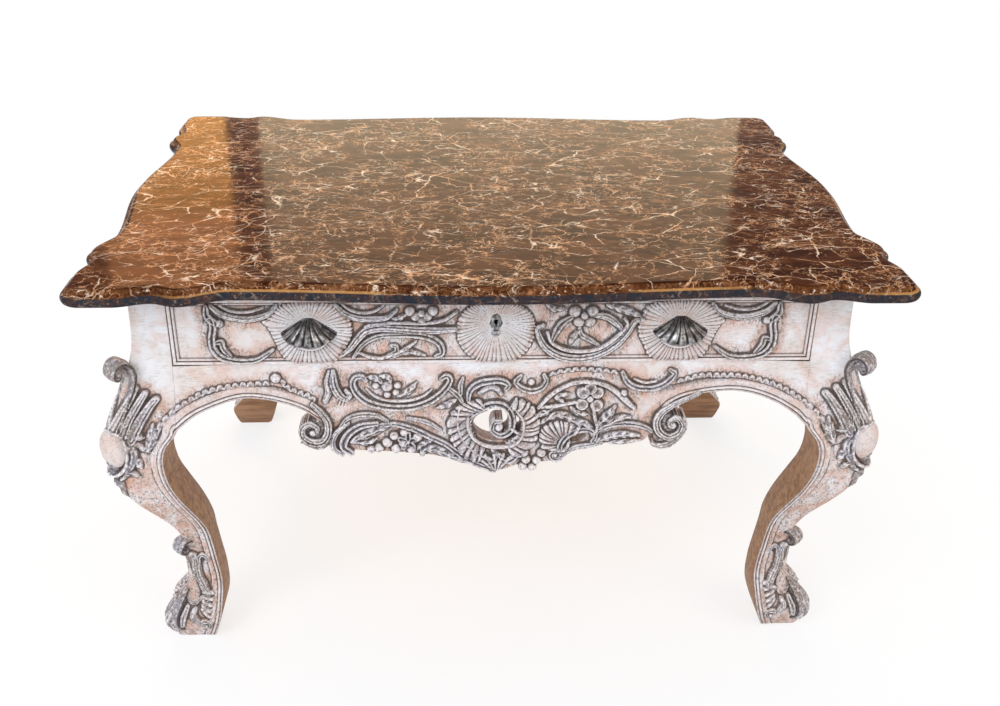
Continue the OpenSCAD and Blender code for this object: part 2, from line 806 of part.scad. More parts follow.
// Blocks under the bearers that the drawer's back meets when it is out
module travel_stops() {
    color(pale_timber) for (s = [-1, 1]) difference() {
        translate([s * inner_x / 3 - stop_w / 2, stop_y() - stop_d, stop_z0])
            cube([stop_w, stop_d, frame_top - bearer_t - stop_z0]);
        translate([s * inner_x / 3, stop_y() - stop_d / 2, stop_z0]) {
            translate([0, 0, -1]) cylinder(r = 2 * screw_r + 1, h = 1 + stop_bore, $fn = 24);
            cylinder(r = screw_r + joint_gap, h = 60, $fn = 24);
        }
    }
}

module stop_screws() {
    z0 = stop_z0 + stop_bore;
    color(steel) for (s = [-1, 1]) translate([s * inner_x / 3, stop_y() - stop_d / 2, z0])
        wood_screw(frame_top - bearer_t + 8 - z0);
}

brace_h = 20;
brace_leg = 62;

// Diagonal block in the corner at +X +Y, under the runner
module corner_brace() {
    bx = board_x - board_t;
    by = board_y - board_t;
    difference() {
        translate([0, 0, apron_top + brace_z - brace_h / 2]) linear_extrude(brace_h)
            polygon([
                [bx, inner_y], [bx, inner_y - brace_leg], [inner_x - brace_leg, by],
                [inner_x, by], [inner_x, inner_y]
            ]);
        translate([inner_x - 34, by - 16, apron_top + brace_z]) rotate([-90, 0, 0]) brace_bore();
        translate([bx - 16, inner_y - 34, apron_top + brace_z]) rotate([0, 90, 0]) brace_bore();
    }
}

module brace_bore() {
    translate([0, 0, -60]) cylinder(r = 2 * screw_r + 1, h = 60, $fn = 24);
    translate([0, 0, -1]) cylinder(r = screw_r + joint_gap, h = 30, $fn = 24);
}

module corner_braces() {
    color(pale_timber) at_corners() corner_brace();
}

module brace_screws() {
    bx = board_x - board_t;
    by = board_y - board_t;
    color(steel) at_corners() {
        translate([inner_x - 34, by - 16, apron_top + brace_z]) rotate([-90, 0, 0]) wood_screw(26);
        translate([bx - 16, inner_y - 34, apron_top + brace_z]) rotate([0, 90, 0]) wood_screw(26);
    }
}

// Blocks on the runners that the drawer's sides meet when it is shut
module drawer_stops() {
    x1 = board_x - board_t;
    color(pale_timber) for (s = [-1, 1])
        translate([s * (x1 - runner_w + 10) - 8, drawer_y1 + run_gap, apron_top])
            cube([16, board_y - board_t - drawer_y1 - run_gap, guide_h]);
}

// Drawer

groove = 5;
lock_t = 11;
lock_plate = 1.5;
bolt_w = 14;
bolt_t = 5;
bolt_len = 34;

// The lock's bolt and the key's pin stand on this line, front to back
function bolt_y() = -board_y + front_t - lock_t / 2;

function front_z1() = face_z + drawer_h;

// Tails of a drawer side, drawn in Y (from the side's front end) and Z
module side_tails(g = 0) {
    n = 3;
    pitch = side_h / n;
    for (i = [0:n - 1]) translate([0, side_z0 + pitch * (i + 0.5)])
        polygon([[-g, -pitch * 0.36 - g], [14.01, -pitch * 0.22 - g], [14.01, pitch * 0.22 + g],
            [-g, pitch * 0.36 + g]]);
}

module side_joint(g = 0) {
    translate([drawer_hw - side_t - run_gap - g, side_y0, 0]) rotate([90, 0, 90])
        linear_extrude(side_t + 2 * run_gap + 2 * g) side_tails(g);
}

// Keyhole of the height given, drawn about the key pin
module keyhole(h, w = 4.4, n = 24) {
    circle(r = w * 0.9, $fn = n);
    translate([-w / 2, -h + w * 0.9]) square([w, h - w]);
}

// Half the distance between the escutcheon's pins
pin_gap = 11;

// Height of the flats that the pulls and the escutcheon sit on, over the drawer front
seat_h = 2.5;

module drawer_front() {
    y1 = -board_y + front_t;
    color(paint) difference() {
        union() {
            translate([-drawer_hw, -board_y, face_z]) cube([2 * drawer_hw, front_t, drawer_h]);
            on_face(board_y) panel_frame(drawer_hw, face_z, front_z1());
        }
        both_sides() side_joint(joint_gap);
        translate([-drawer_hw + side_t, y1 - groove, bottom_z() - joint_gap])
            cube([2 * (drawer_hw - side_t), groove + 1, bottom_t + 2 * joint_gap]);
        // Seat of the lock: case, plate and the plate on the top edge
        translate([-lock_w / 2 - joint_gap, y1 - lock_t - joint_gap, lock_z0() - joint_gap])
            cube([lock_w + 2 * joint_gap, lock_t + 1, drawer_h]);
        translate([-lock_w / 2 - 8 - joint_gap, y1 - lock_plate - joint_gap, lock_z0() - 6 - joint_gap])
            cube([lock_w + 16 + 2 * joint_gap, lock_plate + 1, drawer_h]);
        translate([-lock_w / 2 - 8 - joint_gap, y1 - lock_t - 1 - joint_gap, front_z1() - 2 - joint_gap])
            cube([lock_w + 16 + 2 * joint_gap, lock_t + 2, 3]);
        translate([0, 0, key_z]) on_face(board_y) translate([0, 0, -front_t])
            linear_extrude(front_t + 5) keyhole(keyhole_h);
        for (s = [-1, 1]) {
            // Pull screws and escutcheon pins
            for (t = [-1, 1]) translate([s * pull_x + t * pull_screw_x(), -board_y - 4, pull_z() + 2])
                rotate([-90, 0, 0]) cylinder(r = screw_r + joint_gap, h = front_t + 8, $fn = 24);
            translate([0, -board_y - 1, key_z + s * pin_gap - 3.5]) rotate([-90, 0, 0])
                cylinder(r = 0.7, h = 8, $fn = 16);
            for (z = [0, 30]) translate([s * (lock_w / 2 + 4), y1 - 12, lock_z0() + z])
                rotate([-90, 0, 0]) cylinder(r = 1.2, h = 14, $fn = 20);
        }
    }
}

function lock_z0() = key_z - 20;

function bottom_z() = side_z0 + 7;

function pull_z() = drawer_mid;

function pull_screw_x() = pull_w * 0.2;

// Places of the screws along the drawer's back
back_screws = [-drawer_hw / 2, 0, drawer_hw / 2];

module drawer_side() {
    x0 = drawer_hw - side_t - run_gap;
    y0 = -board_y + front_t;
    color(pale_timber) difference() {
        union() {
            translate([x0, y0, side_z0]) cube([side_t, drawer_y1 - y0, side_h]);
            intersection() {
                side_joint();
                translate([x0, side_y0, 0]) cube([side_t, 15, table_h]);
            }
        }
        translate([x0 - 1, y0 - groove, bottom_z() - joint_gap])
            cube([groove + 1, drawer_len, bottom_t + 2 * joint_gap]);
        translate([x0 - 1, drawer_y1 - side_t - 6 - joint_gap, bottom_z() + bottom_t])
            cube([groove + 1, side_t + 2 * joint_gap, side_h]);
    }
}

module drawer_side_right() {
    drawer_side();
}

module drawer_side_left() {
    mirror([1, 0, 0]) drawer_side();
}

module drawer_back() {
    x0 = drawer_hw - side_t - run_gap + groove - joint_gap;
    color(pale_timber) difference() {
        translate([-x0, drawer_y1 - side_t - 6, bottom_z() + bottom_t + joint_gap])
            cube([2 * x0, side_t, side_z0 + side_h - bottom_z() - bottom_t - 6]);
        for (x = back_screws) translate([x, drawer_y1 - side_t / 2 - 6, bottom_z() + bottom_t])
            cylinder(r = 1.5, h = 16, $fn = 24);
    }
}

module drawer_bottom() {
    x0 = drawer_hw - side_t - run_gap + groove - joint_gap;
    y0 = -board_y + front_t - groove + joint_gap;
    color(pale_timber) difference() {
        translate([-x0, y0, bottom_z()]) cube([2 * x0, drawer_y1 - y0, bottom_t]);
        for (x = back_screws) translate([x, drawer_y1 - side_t / 2 - 6, bottom_z() - 1])
            cylinder(r = 1.6, h = bottom_t + 2, $fn = 24);
    }
}

// Screws up through the bottom into the drawer's back
module bottom_screws() {
    color(steel) for (x = back_screws) translate([x, drawer_y1 - side_t / 2 - 6, bottom_z()]) {
        cylinder(r = 1.5, h = 21, $fn = 24);
        translate([0, 0, -1.5]) cylinder(r = 3.2, h = 1.5, $fn = 24);
    }
}

// Carving applied to the drawer front: three rayed shells and the scrolls between
module drawer_carving() {
    color(carved) translate([0, 0, drawer_mid]) on_face(board_y + sink) difference() {
        union() {
            for (x = [-pull_x, pull_x]) translate([x, -1]) rayed_shell(100, 66, 12, 0.42);
            rayed_shell(98, 66, 12, 0.2);
            both_sides() {
                // Cartouche between the shell and the post
                ridge(smooth([[-288, 22], [-340, 30], [-360, -4], [-322, -32], [-284, -26]], 2), 9);
                ridge(smooth([[-300, 8], [-332, 10], [-318, -14]], 2), 6);
            }
            // Leaf scroll to the left of the middle
            ridge(smooth([[-178, -26], [-160, 6], [-110, 12], [-56, 4]], 2), 9);
            volute([-76, -18], 11, 90, -290);
            lobe([-120, -16], [-158, -26], 14);
            flower([-90, 24], 9);
            // Scroll to the right of the middle
            ridge(smooth([[56, 8], [74, -24], [110, -29], [148, -2]], 2), 9);
            flower([98, 14], 14);
            volute([158, 14], 9, 180, 300);
        }
        // Way for the key, and flats under the pulls' feet
        translate([0, key_z - drawer_mid, -5]) linear_extrude(30) keyhole(keyhole_h + 1, 5.4, 12);
        translate([0, key_z - drawer_mid - 3.5, seat_h - sink]) scale([1, 2.25, 1])
            cylinder(r = 6.6, h = 20, $fn = 20);
        for (s = [-1, 1]) translate([0, key_z - drawer_mid + s * pin_gap - 3.5, -5])
            cylinder(r = 0.8, h = 20, $fn = 6);
        for (x = [-pull_x, pull_x]) translate([x, pull_z() - drawer_mid, 0]) pull_seat();
    }
}

// Room that the carving leaves for a pull and its screws
module pull_seat() {
    translate([0, 2, seat_h - sink]) scale([pull_w / 2 + 2, pull_h * 0.64, 1]) cylinder(r = 1, h = 30, $fn = 20);
    for (s = [-1, 1]) translate([s * pull_screw_x(), 2, -5])
        cylinder(r = (screw_r + joint_gap) / cos(180 / 8), h = 30, $fn = 8);
}

// Hooded shell pull: flutes spread from its top and its rim hangs clear of the drawer
module pull() {
    rays = 12;
    rows = 4;
    wall = 2.4;
    // Point of the hood: i runs across the fan, t from the hinge to the rim
    hood = function (i, t, d)
        let (
            s = 2 * i / rays - 1, a = 90 * s, flute = i % 2 == 0 ? 1 : 0.88,
            top = pull_h / 2 - d, rim = -pull_h * (0.125 + 0.375 * cos(a)),
            x = (pull_w / 2 - d) * sin(a) * (0.14 + 0.86 * t),
            z = top + (rim - top) * t,
            y = (pull_out - d) * cos(a) * sin(105 * t) * flute
        )
        [x, z, max(y, 0)];
    outer = [for (i = [0:rays]) for (j = [0:rows]) hood(i, j / rows, 0)];
    inner = [for (i = [0:rays]) for (j = [0:rows]) hood(i, j / rows, wall)];
    n = (rays + 1) * (rows + 1);
    at = function (i, j) i * (rows + 1) + j;
    grid = [for (i = [0:rays - 1]) for (j = [0:rows - 1])
        let (a = at(i, j), b = at(i + 1, j), c = at(i + 1, j + 1), d = at(i, j + 1))
        each [[a, b, c], [a, c, d], [n + a, n + c, n + b], [n + a, n + d, n + c]]];
    edge_a = [for (i = [0:rays - 1]) each quad(at(i, 0), at(i + 1, 0), n)];
    edge_b = [for (i = [0:rays - 1]) each quad(at(i + 1, rows), at(i, rows), n)];
    edge_c = [for (j = [0:rows - 1]) each concat(quad(at(0, j + 1), at(0, j), n),
        quad(at(rays, j), at(rays, j + 1), n))];
    polyhedron(concat(outer, inner), concat(grid, edge_a, edge_b, edge_c), convexity = 6);
}

// Two triangles that close the edge between the outer and the inner surface
function quad(a, b, n) = [[a, b + n, b], [a, a + n, b + n]];

module placed_pull(s) {
    color(dark_brass) translate([s * pull_x, 0, pull_z()]) on_face(board_y + seat_h) {
        pull();
        for (t = [-1, 1]) translate([t * pull_screw_x(), 2, 0]) difference() {
            cylinder(r = 3.6, h = pull_out * 0.36, $fn = 24);
            translate([0, 0, -1]) cylinder(r = screw_r + joint_gap, h = 8, $fn = 24);
        }
    }
}

module pull_left() {
    placed_pull(-1);
}

module pull_right() {
    placed_pull(1);
}

// Machine screws from inside the drawer into the pulls' bosses
module pull_screws() {
    y1 = -board_y + front_t;
    color(brass) for (s = [-1, 1]) for (t = [-1, 1])
        translate([s * pull_x + t * pull_screw_x(), y1, pull_z() + 2]) rotate([90, 0, 0]) {
            cylinder(r = screw_r, h = front_t + seat_h + 6, $fn = 24);
            translate([0, 0, -2.2]) cylinder(r = 4, h = 2.2, $fn = 24);
        }
}

plate_t = 1.4;

module keyhole_escutcheon() {
    color(dark_brass) translate([0, 0, key_z]) on_face(board_y + seat_h)
        linear_extrude(plate_t) difference() {
            translate([0, -3.5]) scale([0.44, 1]) circle(r = 13.5, $fn = 40);
            keyhole(keyhole_h);
            for (s = [-1, 1]) translate([0, s * pin_gap - 3.5]) circle(r = 0.8, $fn = 16);
        }
}

module escutcheon_pins() {
    color(brass) for (s = [-1, 1])
        translate([0, -board_y - seat_h - plate_t, key_z + s * pin_gap - 3.5]) rotate([-90, 0, 0]) {
            cylinder(r = 0.65, h = 10, $fn = 16);
            translate([0, 0, -0.5]) cylinder(r = 1.3, h = 0.5, $fn = 16);
        }
}

// Half-mortise lock: open case, back plate and a plate on the drawer front's top edge
module lock_case() {
    y1 = -board_y + front_t;
    color(brass) difference() {
        union() {
            translate([-lock_w / 2, y1 - lock_t, lock_z0()]) cube([lock_w, lock_t, front_z1() - lock_z0()]);
            translate([-lock_w / 2 - 8, y1 - lock_plate, lock_z0() - 6])
                cube([lock_w + 16, lock_plate, front_z1() - lock_z0() + 6]);
            translate([-lock_w / 2 - 8, y1 - lock_t - 1, front_z1() - 2]) cube([lock_w + 16, lock_t + 1, 2]);
        }
        // Hollow of the case below the bolt's guide, open towards the keyhole
        translate([-lock_w / 2 + 2, y1 - lock_t + 1.2, lock_z0() + 2])
            cube([lock_w - 4, lock_t - lock_plate - 1.2, front_z1() - lock_z0() - 12]);
        translate([0, 0, key_z]) on_face(-y1 + lock_t) translate([0, 0, -2]) linear_extrude(4) keyhole(keyhole_h);
        // Way of the bolt through the guide and the top plate
        translate([-bolt_w / 2 - run_gap, bolt_y() - bolt_t / 2 - run_gap, front_z1() - 14])
            cube([bolt_w + 2 * run_gap, bolt_t + 2 * run_gap, 20]);
        for (s = [-1, 1]) for (z = [0, 30]) translate([s * (lock_w / 2 + 4), y1 - 3, lock_z0() + z])
            rotate([-90, 0, 0]) cylinder(r = 1.3, h = 6, $fn = 20);
    }
    // Pin that the key turns on
    color(steel) translate([0, y1 - lock_t + 2, key_z]) rotate([-90, 0, 0])
        cylinder(r = 1.2, h = lock_t - lock_plate - 1.9, $fn = 20);
}

module lock_screws() {
    y1 = -board_y + front_t;
    color(brass) for (s = [-1, 1]) for (z = [0, 30])
        translate([s * (lock_w / 2 + 4), y1 + 1, lock_z0() + z]) rotate([90, 0, 0]) {
            translate([0, 0, 1]) cylinder(r = 1.2, h = 11, $fn = 20);
            cylinder(r = 2.2, h = 1, $fn = 20);
        }
}

// Bolt at rest, drawn back level with the lock's top plate
module lock_bolt() {
    color(steel) translate([-bolt_w / 2, bolt_y() - bolt_t / 2, front_z1() - 0.5 - bolt_len])
        difference() {
            cube([bolt_w, bolt_t, bolt_len]);
            // Talon that the key's bit catches, round the key's pin
            translate([2.5, -1, -1]) cube([bolt_w - 5, bolt_t + 2, key_talon()]);
        }
}

function key_talon() = 1 + key_z + 8 - (front_z1() - 0.5 - bolt_len);

marble_top();
leg_front_left();
leg_front_right();
leg_rear_left();
leg_rear_right();
front_rail();
front_apron();
side_apron_left();
side_apron_right();
back_apron();
drawer_rail();
runner_left();
runner_right();
guide_left();
guide_right();
kicker_left();
kicker_right();
marble_bearers();
travel_stops();
stop_screws();
corner_braces();
brace_screws();
runner_screws();
drawer_stops();
strike_plate();
strike_screws();
drawer_front();
drawer_carving();
drawer_side_left();
drawer_side_right();
drawer_back();
drawer_bottom();
bottom_screws();
pull_left();
pull_right();
pull_screws();
keyhole_escutcheon();
escutcheon_pins();
lock_case();
lock_screws();
lock_bolt();
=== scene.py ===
"""Dresses the coffee table: carved and painted frame, drawer, fittings and marble top.

Lengths are in millimetres until a mesh is made. X runs along the front, the front
faces -Y and Z points up, as in the CAD frame.
"""

import logging
import math
from collections.abc import Callable, Sequence
from dataclasses import dataclass, field
from enum import Enum

import bpy
import numpy as np
from mathutils import Matrix, Vector


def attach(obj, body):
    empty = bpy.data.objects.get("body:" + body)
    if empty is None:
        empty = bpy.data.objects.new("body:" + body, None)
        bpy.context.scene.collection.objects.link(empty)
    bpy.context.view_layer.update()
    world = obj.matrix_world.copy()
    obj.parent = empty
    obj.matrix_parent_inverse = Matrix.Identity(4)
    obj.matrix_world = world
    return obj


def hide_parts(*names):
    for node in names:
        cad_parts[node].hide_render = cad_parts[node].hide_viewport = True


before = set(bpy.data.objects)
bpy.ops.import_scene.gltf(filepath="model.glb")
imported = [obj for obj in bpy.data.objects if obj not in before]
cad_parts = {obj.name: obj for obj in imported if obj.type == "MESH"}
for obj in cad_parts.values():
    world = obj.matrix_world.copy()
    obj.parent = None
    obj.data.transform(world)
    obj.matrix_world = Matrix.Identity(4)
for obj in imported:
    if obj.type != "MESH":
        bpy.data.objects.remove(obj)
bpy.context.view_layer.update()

MM = 0.001
# How far a carved board's sawn edge is eased, in millimetres
ARRIS = 0.6
LOG = logging.getLogger("coffee_table")

Array = np.ndarray
Point = tuple[float, float]


# Curves


def smooth_path(knots: Sequence[Sequence[float]], step: float = 1.2) -> Array:
    """Follows a smooth curve through the knots.

    Args:
        knots: Points that the curve passes through.
        step: Distance between the points returned.

    Returns:
        Points at even steps along the curve.
    """
    k = np.asarray(knots, float)
    p = np.vstack([2 * k[0] - k[1], k, 2 * k[-1] - k[-2]])
    t = np.linspace(0, 1, 16, endpoint=False)[:, None]
    spans = []
    for i in range(1, len(p) - 2):
        a, b, c, d = p[i - 1], p[i], p[i + 1], p[i + 2]
        bend = (2 * a - 5 * b + 4 * c - d) * t**2 + (3 * b - a - 3 * c + d) * t**3
        spans.append(0.5 * (2 * b + (c - a) * t + bend))
    q = np.vstack([*spans, k[-1:]])
    s = np.concatenate([[0], np.cumsum(np.linalg.norm(np.diff(q, axis=0), axis=1))])
    u = np.linspace(0, s[-1], max(3, int(s[-1] / step) + 1))
    return np.stack([np.interp(u, s, q[:, j]) for j in range(q.shape[1])], 1)


def curl(centre: Point, start: float, end: float, turn_from: float, turn: float) -> list[Point]:
    """Draws a spiral.

    Args:
        centre: Middle of the spiral.
        start: Radius at its first point.
        end: Radius at its last point.
        turn_from: Angle of the first point, in degrees.
        turn: Angle that it turns through, in degrees.

    Returns:
        Knots along the spiral.
    """
    n = max(4, int(abs(turn) / 30))
    knots = []
    for i in range(n + 1):
        a = math.radians(turn_from + turn * i / n)
        r = start + (end - start) * i / n
        knots.append((centre[0] + r * math.cos(a), centre[1] + r * math.sin(a)))
    return knots


def profile(knots: Sequence[Point], at: Array) -> Array:
    """Reads a smooth curve, given as (position, value) knots, at the positions."""
    path = smooth_path(sorted(knots), 0.8)
    order = np.argsort(path[:, 0])
    return np.interp(at, path[order, 0], path[order, 1])


def ramp(x: Array, low: float, high: float) -> Array:
    """Rises smoothly from 0 at low to 1 at high."""
    t = np.clip((x - low) / (high - low), 0, 1)
    return t * t * (3 - 2 * t)


def softened(grid: Array, radius: int) -> Array:
    """Averages a grid over a square of the radius, three times over."""
    out = grid
    for _ in range(3):
        for axis in (0, 1):
            pad = [(0, 0), (0, 0)]
            pad[axis] = (radius + 1, radius)
            total = np.cumsum(np.pad(out, pad, mode="edge"), axis=axis)
            n = out.shape[axis]
            high = np.take(total, range(2 * radius + 1, 2 * radius + 1 + n), axis=axis)
            low = np.take(total, range(n), axis=axis)
            out = (high - low) / (2 * radius + 1)
    return out


# Carving


class Section(Enum):
    """Cross-section of a carved stroke."""

    BEAD = "round bead"
    COVE = "scroll with a hollow between two rims"
    BAND = "broad scroll with one fine rim and a scored line"
    REED = "bead cut with flutes along it"
    LEAF = "leaf with a midrib and veins"
    ROPE = "row of small scallops"
    CUP = "round petal, dished"


BEAD, COVE, BAND, REED, LEAF, ROPE, CUP = Section


@dataclass
class Relief:
    """Carving over a face, as heights on a grid of the face's own coordinates.

    Attributes:
        low: Lowest corner of the grid.
        high: Highest corner of the grid.
        pitch: Distance between grid points.
    """

    low: Point
    high: Point
    pitch: float = 1.0
    x: Array = field(init=False)
    z: Array = field(init=False)
    height: Array = field(init=False)
    glaze: Array = field(init=False)
    solid: Array = field(init=False)
    pale: Array = field(init=False)

    def __post_init__(self) -> None:
        """Lays out an empty grid."""
        xs = np.arange(self.low[0], self.high[0] + self.pitch / 2, self.pitch)
        zs = np.arange(self.low[1], self.high[1] + self.pitch / 2, self.pitch)
        self.x, self.z = np.meshgrid(xs, zs)
        self.height = np.zeros_like(self.x)
        self.glaze = np.zeros_like(self.x)
        self.pale = np.zeros_like(self.x)
        self.solid = np.full_like(self.x, 1e3)

    def window(self, path: Array, reach: float) -> tuple[slice, slice]:
        """Finds the grid rows and columns within reach of a path."""
        lo = (path.min(0) - reach - np.array(self.low)) / self.pitch
        hi = (path.max(0) + reach - np.array(self.low)) / self.pitch
        rows = slice(max(0, int(lo[1])), max(0, int(hi[1]) + 2))
        columns = slice(max(0, int(lo[0])), max(0, int(hi[0]) + 2))
        return rows, columns

    def nearest(self, path: Array, reach: float) -> tuple[tuple[slice, slice], Array, Array, Array]:
        """Measures the grid points near a path.

        Args:
            path: Points along the path.
            reach: How far from the path to measure.

        Returns:
            The window, then each point's distance, side (-1 or 1) and share along the path.
        """
        w = self.window(path, reach)
        p = np.stack([self.x[w], self.z[w]], -1)
        gap = ((p[:, :, None, :] - path[None, None]) ** 2).sum(-1)
        i = gap.argmin(-1)
        tangent = np.gradient(path, axis=0)[i]
        off = p - path[i]
        side = np.sign(tangent[..., 0] * off[..., 1] - tangent[..., 1] * off[..., 0])
        return w, np.sqrt(gap.min(-1)), side, i / (len(path) - 1)

    def stroke(
        self,
        knots: Sequence[Point],
        widths: Sequence[float],
        height: float,
        section: Section = BEAD,
        glaze: float = 1.0,
        base: float = 0.0,
        reeds: int = 3,
        grow: bool = False,
    ) -> None:
        """Carves a stroke along a curve.

        Args:
            knots: Points that the stroke passes through.
            widths: Widths at even shares along it.
            height: Height of its crest over the face.
            section: Its cross-section.
            glaze: How much of the dark glaze it takes, from 0 to 1.
            base: Height that it stands on.
            reeds: Flutes, veins or scallops: across a reed, along a leaf or rope.
            grow: True if it also widens the board's outline.
        """
        path = smooth_path(knots)
        w, gap, side, share = self.nearest(path, max(widths) / 2 + 2)
        if gap.size == 0:
            return
        half = np.interp(share, np.linspace(0, 1, len(widths)), widths) / 2
        r = np.clip(gap / np.maximum(half, 0.3), 0, 1)
        dome = np.sqrt(1 - r**2)
        edge = ramp(1 - r, 0, 0.3)
        if section is COVE:
            h = (1 - 0.6 * np.cos(r * math.pi / 2) ** 2) * edge
        elif section is BAND:
            across = side * r
            h = (0.74 + 0.10 * np.cos(across * 2.6)) * edge
            h += 0.30 * np.exp(-(((across - 0.74) / 0.16) ** 2))
            for depth, middle, width in ((0.34, 0.42, 0.13), (0.16, -0.3, 0.12)):
                h -= depth * np.exp(-(((across - middle) / width) ** 2))
        elif section is REED:
            h = dome * (0.7 + 0.3 * np.abs(np.cos(r * side * math.pi * reeds / 2)))
        elif section is LEAF:
            vein = np.cos((share * reeds - r * 0.35) * 2 * math.pi)
            midrib = np.exp(-((r / 0.16) ** 2))
            h = dome**0.8 * (0.68 + 0.2 * vein * ramp(r, 0.05, 0.4) + 0.3 * midrib)
        elif section is ROPE:
            q = np.hypot(share * reeds % 1 * 2 - 1, (side * r + 1) / 2)
            h = (0.35 + 0.65 * np.clip(q, 0, 1) ** 2) * ramp(1.04 - q, 0, 0.16)
        elif section is CUP:
            h = (0.45 + 0.55 * r**2) * ramp(1 - r, 0, 0.25)
        else:
            h = dome
        crest = np.maximum(self.height[w], base + height * h)
        self.height[w] = np.where(gap < half, crest, self.height[w])
        self.glaze[w] = np.maximum(self.glaze[w], glaze * ramp(half - gap, -0.6, 0.9))
        if grow:
            self.solid[w] = np.maximum(self.solid[w], half - gap)

    def leaf(self, knots: Sequence[Point], width: float, height: float, veins: int = 4,
             glaze: float = 1.0, grow: bool = False, base: float = 0.0) -> None:
        """Carves a pointed leaf with a midrib along the curve."""
        self.stroke(knots, (0.35 * width, 0.9 * width, width, 0.7 * width, 0.1 * width), height,
                    LEAF, glaze, base, reeds=veins, grow=grow)

    def berry(self, centre: Point, radius: float, height: float, glaze: float = 0.8,
              grow: bool = False, section: Section = BEAD) -> None:
        """Carves a round berry, or a round petal if the section is a cup."""
        self.stroke([centre, (centre[0] + 0.1, centre[1] + 0.1)], (2 * radius,), height, section,
                    glaze, grow=grow)

    def berries(self, centres: Sequence[Point], radius: float, height: float, glaze: float = 0.8,
                grow: bool = False, section: Section = BEAD) -> None:
        """Carves equal berries at the places."""
        for centre in centres:
            self.berry(centre, radius, height, glaze, grow, section)

    def flower(self, centre: Point, radius: float, petals: int, height: float) -> None:
        """Carves a flower with petals about a button, the first one upright."""
        for i in range(petals):
            a = math.radians(90 + 360 * i / petals)
            tip = (centre[0] + radius * math.cos(a), centre[1] + radius * math.sin(a))
            mid = (centre[0] + 0.5 * radius * math.cos(a), centre[1] + 0.5 * radius * math.sin(a))
            self.stroke([centre, mid, tip], (0.3 * radius, 0.9 * radius, 0.75 * radius), height,
                        COVE)
        self.berry(centre, 0.26 * radius, 1.25 * height, 0.5)

    def volute(self, centre: Point, radius: float, turn_from: float, turn: float, height: float,
               width: float = 7.0, grow: bool = False) -> None:
        """Carves a scroll that curls in to an eye."""
        self.stroke(curl(centre, radius, radius * 0.25, turn_from, turn),
                    (width, width, width * 0.7), height, COVE, grow=grow)
        self.berry(centre, radius * 0.33, height * 1.15, 0.6, grow)

    def score(self, knots: Sequence[Point]) -> None:
        """Cuts a fine line along a curve."""
        width, depth = 2.0, 1.6
        path = smooth_path(knots)
        w, gap, _, _ = self.nearest(path, width + 1)
        if gap.size == 0:
            return
        self.height[w] -= depth * np.exp(-((gap / (0.55 * width)) ** 2))

    def shell(self, hub: Point, rim: Sequence[Point], rays: int, height: float, inner: float = 0.15,
              glaze: float = 0.2, scallop: float = 0.05, grow: bool = False,
              arc: tuple[float, float] = (-180.0, 180.0), cut: float = 0.5,
              twist: float = 0.0) -> None:
        """Carves a rayed shell with a scalloped rim.

        Args:
            hub: Point that the rays spread from.
            rim: Points round its rim, in turn.
            rays: Rays all round.
            height: Height of the rays' crests.
            inner: Share of the way to the rim at which the rays begin.
            glaze: How much of the dark glaze it takes.
            scallop: Depth of the rim's scallops, as a share.
            grow: True if it also widens the board's outline.
            arc: Angles about the hub between which it is carved, in degrees.
            cut: Depth of the grooves between the rays, as a share of the height.
            twist: How far the rays lean over on their way out, in radians.
        """
        path = smooth_path([*rim, rim[0]], 2.0)
        w = self.window(path, 3)
        around = np.arctan2(path[:, 1] - hub[1], path[:, 0] - hub[0])
        order = np.argsort(around)
        radii = np.hypot(path[:, 0] - hub[0], path[:, 1] - hub[1])[order]
        dx, dz = self.x[w] - hub[0], self.z[w] - hub[1]
        a = np.arctan2(dz, dx)
        reach = np.interp(a, around[order], radii, period=2 * math.pi)
        # The rays wander and crowd, as they do where they are cut by eye
        lean = a + twist * np.hypot(dx, dz) / np.maximum(reach, 1e-3)
        turn = lean * rays / 2
        for size, waves, start in ((0.9, 3, 0), (0.6, 7, 1), (0.4, 17, 2)):
            turn = turn + size * np.sin(waves * a + start)
        reach = reach * (1 - scallop + scallop * np.abs(np.cos(turn)) ** 0.6)
        q = np.hypot(dx, dz) / np.maximum(reach, 1e-3)
        ray = np.abs(np.cos(turn)) ** 0.6
        rise = 0.5 + 0.5 * ramp(q, inner, 0.75) - 0.3 * ramp(q, 0.86, 1.0)
        h = height * rise * (1 - cut + cut * ray)
        degrees = np.degrees(a)
        inside = (q < 1) & (q > inner) & (degrees >= arc[0]) & (degrees <= arc[1])
        self.height[w] = np.where(inside, np.maximum(self.height[w], h), self.height[w])
        # Over the shell's own glaze, the grooves between the rays and the rim take more as painted
        # shade
        groove = glaze + 0.9 * cut * (1 - ray) + 0.3 * ramp(q, 0.85, 1.0)
        self.glaze[w] = np.where(inside, np.maximum(self.glaze[w], groove), self.glaze[w])
        if glaze < 0.3:
            self.pale[w] = np.maximum(self.pale[w], ramp(1 - q, 0, 0.15))
        if grow:
            grown = np.where(inside | (q <= inner), (1 - q) * reach, -1e3)
            self.solid[w] = np.maximum(self.solid[w], grown)

    def sink(self, inside: Array, floor: float) -> None:
        """Cuts the marked points flat down to the floor height."""
        self.height = np.where(inside, np.minimum(self.height, floor), self.height)

    def pierce(self, distance: Array) -> None:
        """Cuts the board away where the distance, in millimetres, is negative."""
        self.solid = np.minimum(self.solid, distance)

    def cavity(self) -> Array:
        """Says how much lower each point lies than what is close round it, in millimetres."""
        fine, broad = (softened(self.height, max(1, round(r / self.pitch))) for r in (1.0, 3.0))
        return (fine - self.height) + 0.3 * (broad - self.height)

    def near(self) -> Array:
        """Says how close the carving is, from 0 to 1, for the wear beside it; shells and the rims'
        painted highlight band stay pale.
        """
        reach, gain, spared = 8, 2.2, 0.7
        wear = gain * softened(np.clip(self.glaze, 0, 1), max(1, round(reach / self.pitch)))
        return np.clip(wear, 0, 1) * (1 - spared * self.pale)

